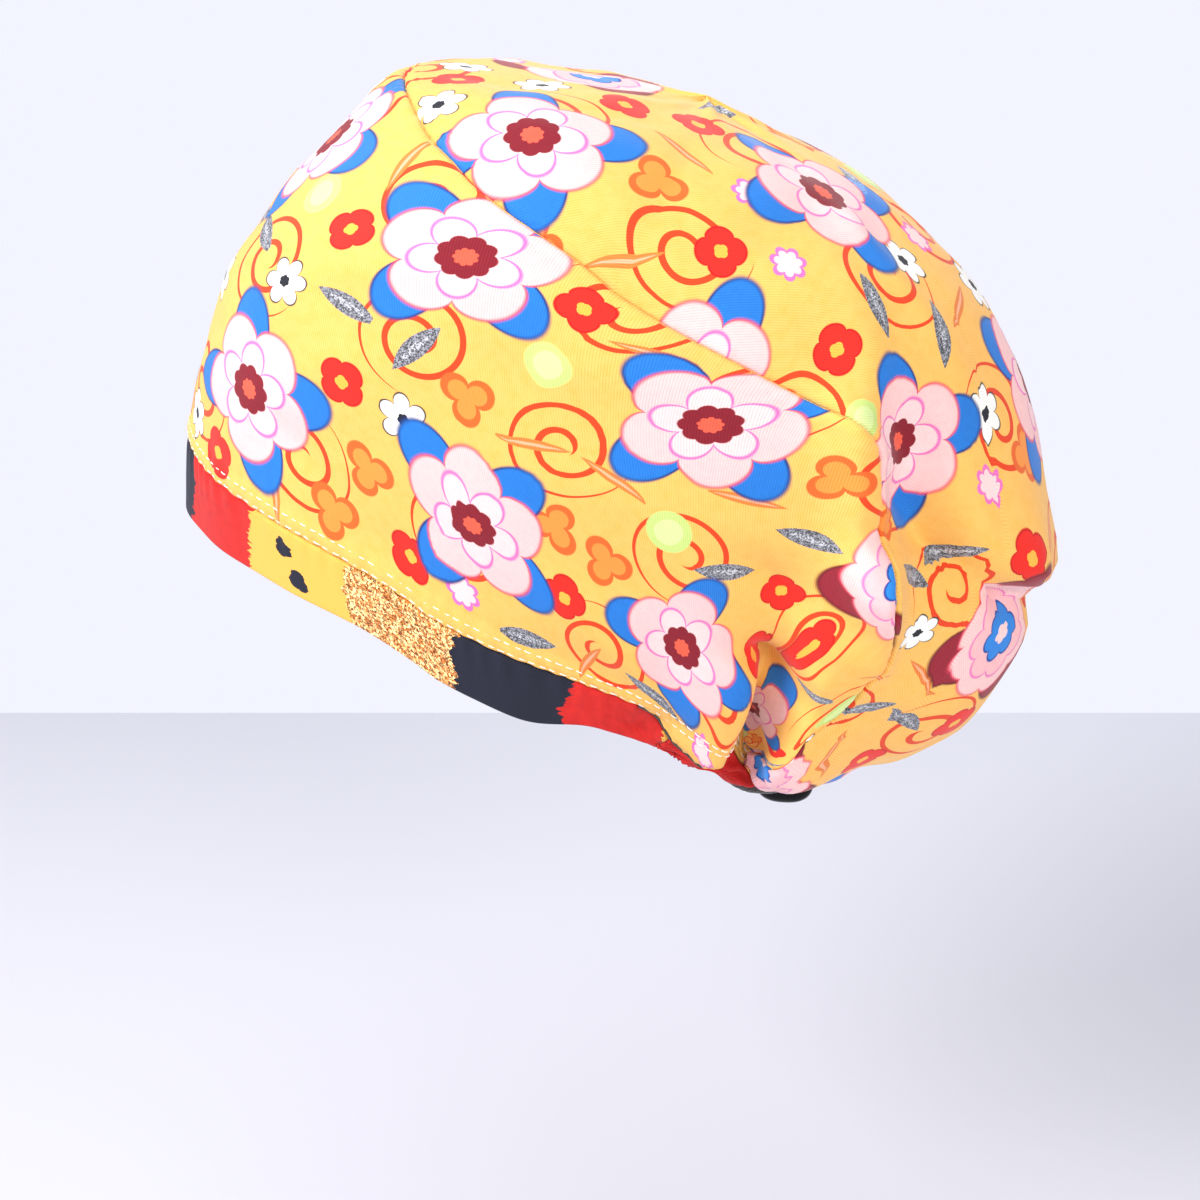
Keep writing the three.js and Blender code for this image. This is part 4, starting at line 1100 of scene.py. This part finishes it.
# Headband: a strip of contrast cotton folded in two, so that its lower edge is a soft fold. It is
# printed in broad blocks of red, yellow, navy and gold glitter with brushed edges.
BAND_WALL = 0.002
BAND_COLUMNS = 401
BAND_ROWS = 26
BAND_PUCKER = 0.00034
BAND_PUCKER_LENGTH = 0.0071
BAND_PUCKER_REACH = 0.008
BAND_UNEVEN = 0.00025
BAND_UNEVEN_LENGTH = 0.031
BAND_DIP = 0.0008
BAND_DIP_WIDTH = 0.0007
BLOCK_LENGTH = 0.037
BLOCK_START = 0.004
BLOCK_COLOURS = 4
BLOCK_SLANT = -0.20
BLOCK_WOBBLE = 0.016
BLOCK_BRUSH = 0.010
DAB_CELL = 0.0115
DAB_RADIUS = 0.0034
DAB_BRUSH = 1.2
DAB_SHARE = 0.30
RED = (0.640, 0.018, 0.014, 1)
DEEP_RED = (0.520, 0.012, 0.012, 1)
NAVY = (0.012, 0.014, 0.030, 1)
DARK_GOLD = (0.420, 0.130, 0.025, 1)
# Bright gold of the painted glints on the gold glitter's grains.
GLINTING_GOLD = (0.960, 0.600, 0.260, 1)
BAND_YELLOW = (0.860, 0.470, 0.085, 1)
BAND_WRONG_SIDE = (0.450, 0.100, 0.060, 1)


def block_print():
    """Blocks of colour along a strip. A block's number is the floor of its place along the strip over
    the block's length, leant by the slant and roughened by brushy noise. Its colour is picked from
    four in turn by that number, and the yellow ones have a few dark dabs."""
    tree, given, result = new_group(
        "block_print", {"Place": "Vector"}, {"Color": "Color", "Glitter": "Float"})
    cloth = given["Place"]
    place = split(tree, cloth)
    strokes = add_node(tree, "Mapping", {"Vector": cloth, "Scale": (26, 420, 1)}, vector_type="POINT")
    brushed = maths(tree, "SUBTRACT", noise(tree, strokes.outputs[0], 1.0, 4, 0.7), 0.5)
    wobble = maths(tree, "SUBTRACT", noise(tree, cloth, 45, 3), 0.5)
    leant = maths(tree, "ADD", place[0], maths(tree, "MULTIPLY", place[1], BLOCK_SLANT))
    leant = maths(tree, "ADD", leant, maths(tree, "MULTIPLY", wobble, BLOCK_WOBBLE))
    leant = maths(tree, "ADD", leant, maths(tree, "MULTIPLY", brushed, BLOCK_BRUSH))
    blocks = maths(tree, "DIVIDE", maths(tree, "SUBTRACT", leant, BLOCK_START), BLOCK_LENGTH)
    number = maths(tree, "FLOORED_MODULO", maths(tree, "FLOOR", blocks), BLOCK_COLOURS)
    pick = maths(tree, "ADD", number, 0.5)
    # Painted glints: the gold glitter's grains are painted from dark gold to bright gold at random, as flakes
    # that catch the light.
    grains = add_node(tree, "TexVoronoi", {"Vector": cloth, "Scale": 1300}).outputs["Color"]
    gold = mix_colours(tree, ramp(tree, split(tree, grains)[0], 0.25, 0.9), DARK_GOLD, GLINTING_GOLD)
    red = mix_colours(tree, ramp(tree, noise(tree, cloth, 300, 3), 0.3, 0.8), RED, DEEP_RED)
    colour = NAVY
    for first, ink in ((1, red), (2, BAND_YELLOW), (3, gold)):
        share = maths(tree, "GREATER_THAN", pick, first)
        colour = mix_colours(tree, share, colour, ink)
        glitter = share
    cells = use_group(tree, cells_group, Place=cloth, Size=DAB_CELL, Jitter=0.5, Seed=5)
    reach = use_group(tree, petal_group, Local=cells["Local"], Petals=3, Radius=DAB_RADIUS, Depth=0.25,
                      Roundness=0.9, Turn=0.0)["Reach"]
    reach = maths(tree, "ADD", reach, maths(tree, "MULTIPLY", brushed, DAB_BRUSH))
    yellow = maths(tree, "MULTIPLY", maths(tree, "GREATER_THAN", pick, 2.0),
                   maths(tree, "LESS_THAN", pick, 3.0))
    some = maths(tree, "MULTIPLY", yellow, maths(tree, "GREATER_THAN", cells["Kind"], 1 - DAB_SHARE))
    colour, _ = inked(tree, colour, reach, NAVY, some)
    tree.links.new(colour, result["Color"])
    tree.links.new(glitter, result["Glitter"])
    return tree


contrast_cotton, tree, shader = new_material(
    "contrast_cotton", 0.80, Specular_IOR_Level=0.30, Sheen_Weight=0.10, Sheen_Roughness=0.45)
place = add_node(tree, "UVMap", uv_map="cloth").outputs[0]
blocks = use_group(tree, block_print(), Place=place)
cloth_finish(tree, shader, place, blocks["Color"], BAND_WRONG_SIDE, blocks["Glitter"])


def band_relief(around, up, down):
    """The panel's stitching draws the top edge in ripples, and the fold below is lightly uneven."""
    drawn = BAND_PUCKER * ripples(around, BAND_PUCKER_LENGTH, 2.0)
    drawn = drawn * np.exp(-((down / BAND_PUCKER_REACH) ** 2))
    soft = BAND_UNEVEN * ripples(around, BAND_UNEVEN_LENGTH, 1.4)
    return drawn + soft - BAND_DIP * np.exp(-down / BAND_DIP_WIDTH)


way = np.linspace(-BAND_END_WAY, BAND_END_WAY, BAND_COLUMNS)[:, None]
turn = turn_on_band(way)
level = edge_shares(BAND_ROWS)[None, :] * (band_top(turn) - SEAM_CLEARANCE / MAP_UP)
turn = np.broadcast_to(turn, level.shape)
outer, inner, around, up = cloth_wall(turn, level, BAND_WALL, band_relief)
headband = wall_mesh("headband_cloth", outer, inner, np.stack([around, up], -1), [contrast_cotton])
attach(headband, "root")
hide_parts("headband")

# Back casing: the tunnel of red contrast cotton at the nape that the drawcord runs in. The drawn cord
# gathers it into tight ripples.
CASING_WALL = 0.0026
CASING_COLUMNS = 241
CASING_ROWS = 22
CASING_GAP = 0.0002
CASING_FULLNESS = 0.0006
CASING_RIPPLE = 0.0016
CASING_RIPPLE_LENGTH = 0.0082
FINE_RIPPLE_LENGTH = 0.0047
FINE_RIPPLE_SHARE = 0.4
FADED_RED = (0.450, 0.010, 0.012, 1)


def casing_relief(around, up, down):
    """Uneven ripples up the tunnel, strongest at its middle where it is fullest over the cord."""
    full = np.sin(np.pi * np.clip(up / (up + down), 0, 1)).clip(0) ** 0.7
    broad = ripples(around, CASING_RIPPLE_LENGTH, 1.6) * (1 - FINE_RIPPLE_SHARE)
    fine = ripples(around, FINE_RIPPLE_LENGTH, 2.3) * FINE_RIPPLE_SHARE
    return full * (CASING_RIPPLE * (broad + fine) + CASING_FULLNESS)


turn_range = turn_on_band(np.array(1.0)) - turn_on_band(np.array(0.0))
start = BAND_END_WAY + CASING_GAP / MAP_AROUND / turn_range
way = np.linspace(start, 2 - start, CASING_COLUMNS)[:, None]
turn = np.where(way > 1, 1 + turn_on_band(way - 2), turn_on_band(way))
level = edge_shares(CASING_ROWS)[None, :] * (band_top(turn) - SEAM_CLEARANCE / MAP_UP)
turn = np.broadcast_to(turn, level.shape)
outer, inner, around, up = cloth_wall(turn, level, CASING_WALL, casing_relief)

casing_cotton, tree, shader = new_material(
    "casing_cotton", 0.80, Specular_IOR_Level=0.30, Sheen_Weight=0.10, Sheen_Roughness=0.45)
place = add_node(tree, "UVMap", uv_map="cloth").outputs[0]
faded = ramp(tree, noise(tree, place, 90, 4, 0.6), 0.35, 0.75)
red = mix_colours(tree, faded, RED, FADED_RED)
cloth_finish(tree, shader, place, red, BAND_WRONG_SIDE, 0.0)
back_casing = wall_mesh("back_casing_cloth", outer, inner, np.stack([around, up], -1), [casing_cotton])
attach(back_casing, "root")
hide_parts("back_casing")

# Seam allowances: inside the cap the raw edges of both seams lie flat as a strip of doubled cloth,
# one behind the crown's seam and one round the opening behind the top of the band and casing.
ALLOWANCE_WALL = 0.0008
ALLOWANCE_HALF = 0.0055
ALLOWANCE_GAP = 0.0002
ALLOWANCE_STEEPNESS = 8
ALLOWANCE_COLUMNS = 480
ALLOWANCE_ROWS = 9


def allowance(name, turn, level, wall_below, wall_above):
    """A strip of cloth just inside two sewn walls, stepped from the depth of one to the other."""
    def relief(around, up, down):
        step = 1 / (1 + np.exp(-ALLOWANCE_STEEPNESS * (up - down) / (up + down)))
        return -between(wall_below, wall_above, step) - ALLOWANCE_GAP

    outer, inner, around, up = cloth_wall(turn, level, ALLOWANCE_WALL, relief)
    strip = wall_mesh(name, outer, inner, np.stack([around, up], -1), [printed_cotton])
    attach(strip, "root")


offset = np.linspace(-ALLOWANCE_HALF, ALLOWANCE_HALF, ALLOWANCE_ROWS)[None, :]
way = np.linspace(-PANEL_END_WAY, PANEL_END_WAY, ALLOWANCE_COLUMNS)[:, None]
allowance("crown_seam_allowance", *seam_place(way, offset), PANEL_WALL, CROWN_WALL)
turn = np.linspace(-0.5, 0.5, ALLOWANCE_COLUMNS)[:, None]
level = band_top(turn) + offset / MAP_UP
allowance("band_seam_allowance", np.broadcast_to(turn, level.shape), level, CASING_WALL, PANEL_WALL)

# Topstitching: two lines of white lockstitch on the panel, just above the headband's seam.
STITCH_STATIONS = 1600
STITCH_STEP = 0.02
FLAP_TURN = 0.376
FLAP_SPREAD = 0.013
FLAP_STITCH_RISE = 0.0160
STITCH_LENGTH = 0.0027
STITCH_PITCH = 0.0033
THREAD_RADIUS = 0.00021
STITCH_SIDES = 6
STITCH_RINGS = 9
STITCH_BOW = 0.75
STITCH_SINK = 1.9
THREAD_SHADE = (0.74, 0.70, 0.62, 1)
THREAD_WHITE = (0.93, 0.92, 0.88, 1)


def level_per_metre(turn, level):
    """How much the level changes in a metre up the cloth, taken over a short step."""
    step = cap_place(turn, level + STITCH_STEP) - cap_place(turn, level)
    return STITCH_STEP / np.linalg.norm(step, axis=-1)


def seam_frame(turn, level, relief):
    """Places along a line on the cloth, moved out by a relief, and the directions out of it."""
    out = directions(cap_place, turn, level)[2]
    return cap_place(turn, level) + out * relief, out


def stitch_tubes(line, out, length, pitch, radius):
    """Separate stitches along a line: each is a short tube that bows out of the cloth in its middle
    and dips into it at both ends, where it thins to nothing."""
    along = distance_along(line)
    count = int(along[-1] / pitch)
    bow = np.linspace(0, 1, STITCH_RINGS)
    at = (np.arange(count)[:, None] + 0.5) * pitch + (bow[None, :] - 0.5) * length
    spot = np.stack([np.interp(at, along, line[:, k]) for k in range(3)], -1)
    up = unit(np.stack([np.interp(at, along, out[:, k]) for k in range(3)], -1))
    lift = radius * (STITCH_BOW - STITCH_SINK * np.abs(2 * bow - 1) ** 3)
    spot = spot + up * lift[None, :, None]
    ahead = unit(np.gradient(spot, axis=1))
    side = unit(np.cross(ahead, up))
    over = np.cross(side, ahead)
    thick = radius * np.maximum(1 - np.abs(2 * bow - 1) ** 5, 0.0)
    angle = np.linspace(0, 2 * np.pi, STITCH_SIDES, endpoint=False)
    ring = np.cos(angle)[:, None] * side[:, :, None] + np.sin(angle)[:, None] * over[:, :, None]
    places = spot[:, :, None] + thick[None, :, None, None] * ring
    quads = grid_quads(len(bow), STITCH_SIDES, round_rows=True).reshape(-1, 4)
    quads = (quads[None] + (np.arange(count) * places[0, ..., 0].size)[:, None, None]).reshape(-1, 4)
    return places.reshape(-1, 3), quads[:, ::-1]


def stitch_rows(rows):
    """Rows of stitches as the places and quads of one mesh."""
    starts = np.cumsum([0] + [len(places) for places, _ in rows])
    return (np.concatenate([places for places, _ in rows]),
            np.concatenate([quads + start for (_, quads), start in zip(rows, starts)]))


thread, tree, shader = new_material("white_thread", 0.55, Sheen_Weight=0.3, Sheen_Roughness=0.4)
place = add_node(tree, "TexCoord").outputs["Object"]
plies = noise(tree, place, 3200, 2)
tree.links.new(mix_colours(tree, plies, THREAD_SHADE, THREAD_WHITE), shader["Base Color"])
tree.links.new(bump(tree, plies, 0.5, 0.0001), shader["Normal"])

way = np.linspace(-PANEL_END_WAY, PANEL_END_WAY, STITCH_STATIONS)
low_turn = turn_on_band(way)
low_level = band_top(low_turn)
seam_turn, seam_level = seam_place(way, -SEAM_CLEARANCE)
flap = FLAP_STITCH_RISE * np.exp(-(((np.abs(low_turn) - FLAP_TURN) / FLAP_SPREAD) ** 2))
rows = []
for height in STITCH_LINES:
    rise = (height + flap) * level_per_metre(low_turn, low_level)
    turn = between(low_turn, seam_turn, rise / (seam_level - low_level))
    line, out = seam_frame(turn, low_level + rise, WELT_HEIGHT - STITCH_PINCH)
    rows.append(stitch_tubes(line, out, STITCH_LENGTH, STITCH_PITCH, THREAD_RADIUS))
topstitching = make_mesh("topstitching", *stitch_rows(rows), [thread])
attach(topstitching, "root")

# Overlock thread: the panel's raw edge is bound with black thread, which shows where its ends turn
# under beside the nape.
OVERLOCK_RADIUS = 0.00042
OVERLOCK_LENGTH = 0.0017
OVERLOCK_PITCH = 0.0013
OVERLOCK_HEIGHT = 0.0004
OVERLOCK_START = 0.345
OVERLOCK_END = 0.392
OVERLOCK_STATIONS = 200

rows = []
for side in (-1, 1):
    turn = side * np.linspace(OVERLOCK_START, OVERLOCK_END, OVERLOCK_STATIONS)
    level = band_top(turn)
    line, out = seam_frame(turn, level + OVERLOCK_HEIGHT * level_per_metre(turn, level), 0.0)
    rows.append(stitch_tubes(line, out, OVERLOCK_LENGTH, OVERLOCK_PITCH, OVERLOCK_RADIUS))
places, quads = stitch_rows(rows)
overlock = make_mesh("overlock_thread", places, quads, [black_elastic], places[:, :2])
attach(overlock, "root")

# Studio: a pale table with a far edge, and large soft lights. None of it belongs to the cap.
FLOOR_Z = -0.270
FLOOR_NEAR = 1.2
FLOOR_FAR = 0.52
FLOOR_HALF = 2.5
STAGE_COLOUR = (0.60, 0.61, 0.67, 1)
STAGE_SHADE = (0.58, 0.59, 0.65, 1)


def stage_plane(name, corners):
    """A flat sheet through four corners in a matt material, lightly shaded by noise."""
    material, tree, shader = new_material(name, 0.6)
    place = add_node(tree, "TexCoord").outputs["Object"]
    tone = ramp(tree, noise(tree, place, 1.5, 2), 0.3, 0.7)
    tree.links.new(mix_colours(tree, tone, STAGE_SHADE, STAGE_COLOUR), shader["Base Color"])
    plane = make_mesh(name, np.array(corners, float), np.array([[0, 1, 2, 3]]), [material])


level_back = Vector((camera_back.x, camera_back.y, 0)).normalized()
level_side = Vector((-level_back.y, level_back.x, 0))
stage_corners = [CAMERA_AIM.xy.to_3d() + level_back * near + level_side * side + Vector((0, 0, FLOOR_Z))
                 for near, side in ((-FLOOR_FAR, -FLOOR_HALF), (FLOOR_NEAR, -FLOOR_HALF),
                                    (FLOOR_NEAR, FLOOR_HALF), (-FLOOR_FAR, FLOOR_HALF))]
stage_plane("floor", [tuple(corner) for corner in stage_corners])


def soft_light(name, spot, aim, size, watts, colour):
    """A square soft light at a spot, turned to what it lights."""
    data = bpy.data.lights.new(name, "AREA")
    data.size = size
    data.energy = watts
    data.color = colour
    light = bpy.data.objects.new(name, data)
    light.location = spot
    light.rotation_euler = (Vector(spot) - Vector(aim)).to_track_quat("Z", "Y").to_euler()
    bpy.context.scene.collection.objects.link(light)


CAP_MIDDLE = (0, 0.04, 0.05)
soft_light("key", (0.75, -0.95, 0.95), CAP_MIDDLE, 0.6, 29, (1.0, 0.97, 0.97))
soft_light("fill", (1.1, 0.8, 0.45), CAP_MIDDLE, 0.6, 13, (1.0, 0.96, 0.88))
soft_light("top", (0.1, -0.2, 1.3), CAP_MIDDLE, 0.8, 5, (1.0, 1.0, 1.0))
soft_light("back", (-1.0, 0.3, 0.5), CAP_MIDDLE, 1.0, 4, (0.95, 0.95, 1.0))

# The backdrop shows pale, and lights the cap less than it shows, as a far wall would.
WORLD_COLOUR = (0.88, 0.89, 1.0, 1)
WORLD_SEEN = 1.02
WORLD_LIGHTING = 0.45
world = bpy.data.worlds.new("studio")
world.use_nodes = True
seen = add_node(world.node_tree, "LightPath").outputs["Is Camera Ray"]
strength = ramp(world.node_tree, seen, 0, 1, WORLD_LIGHTING, WORLD_SEEN)
world.node_tree.nodes["Background"].inputs["Color"].default_value = WORLD_COLOUR
world.node_tree.links.new(strength, world.node_tree.nodes["Background"].inputs["Strength"])
bpy.context.scene.world = world
bpy.context.scene.view_settings.view_transform = "Standard"
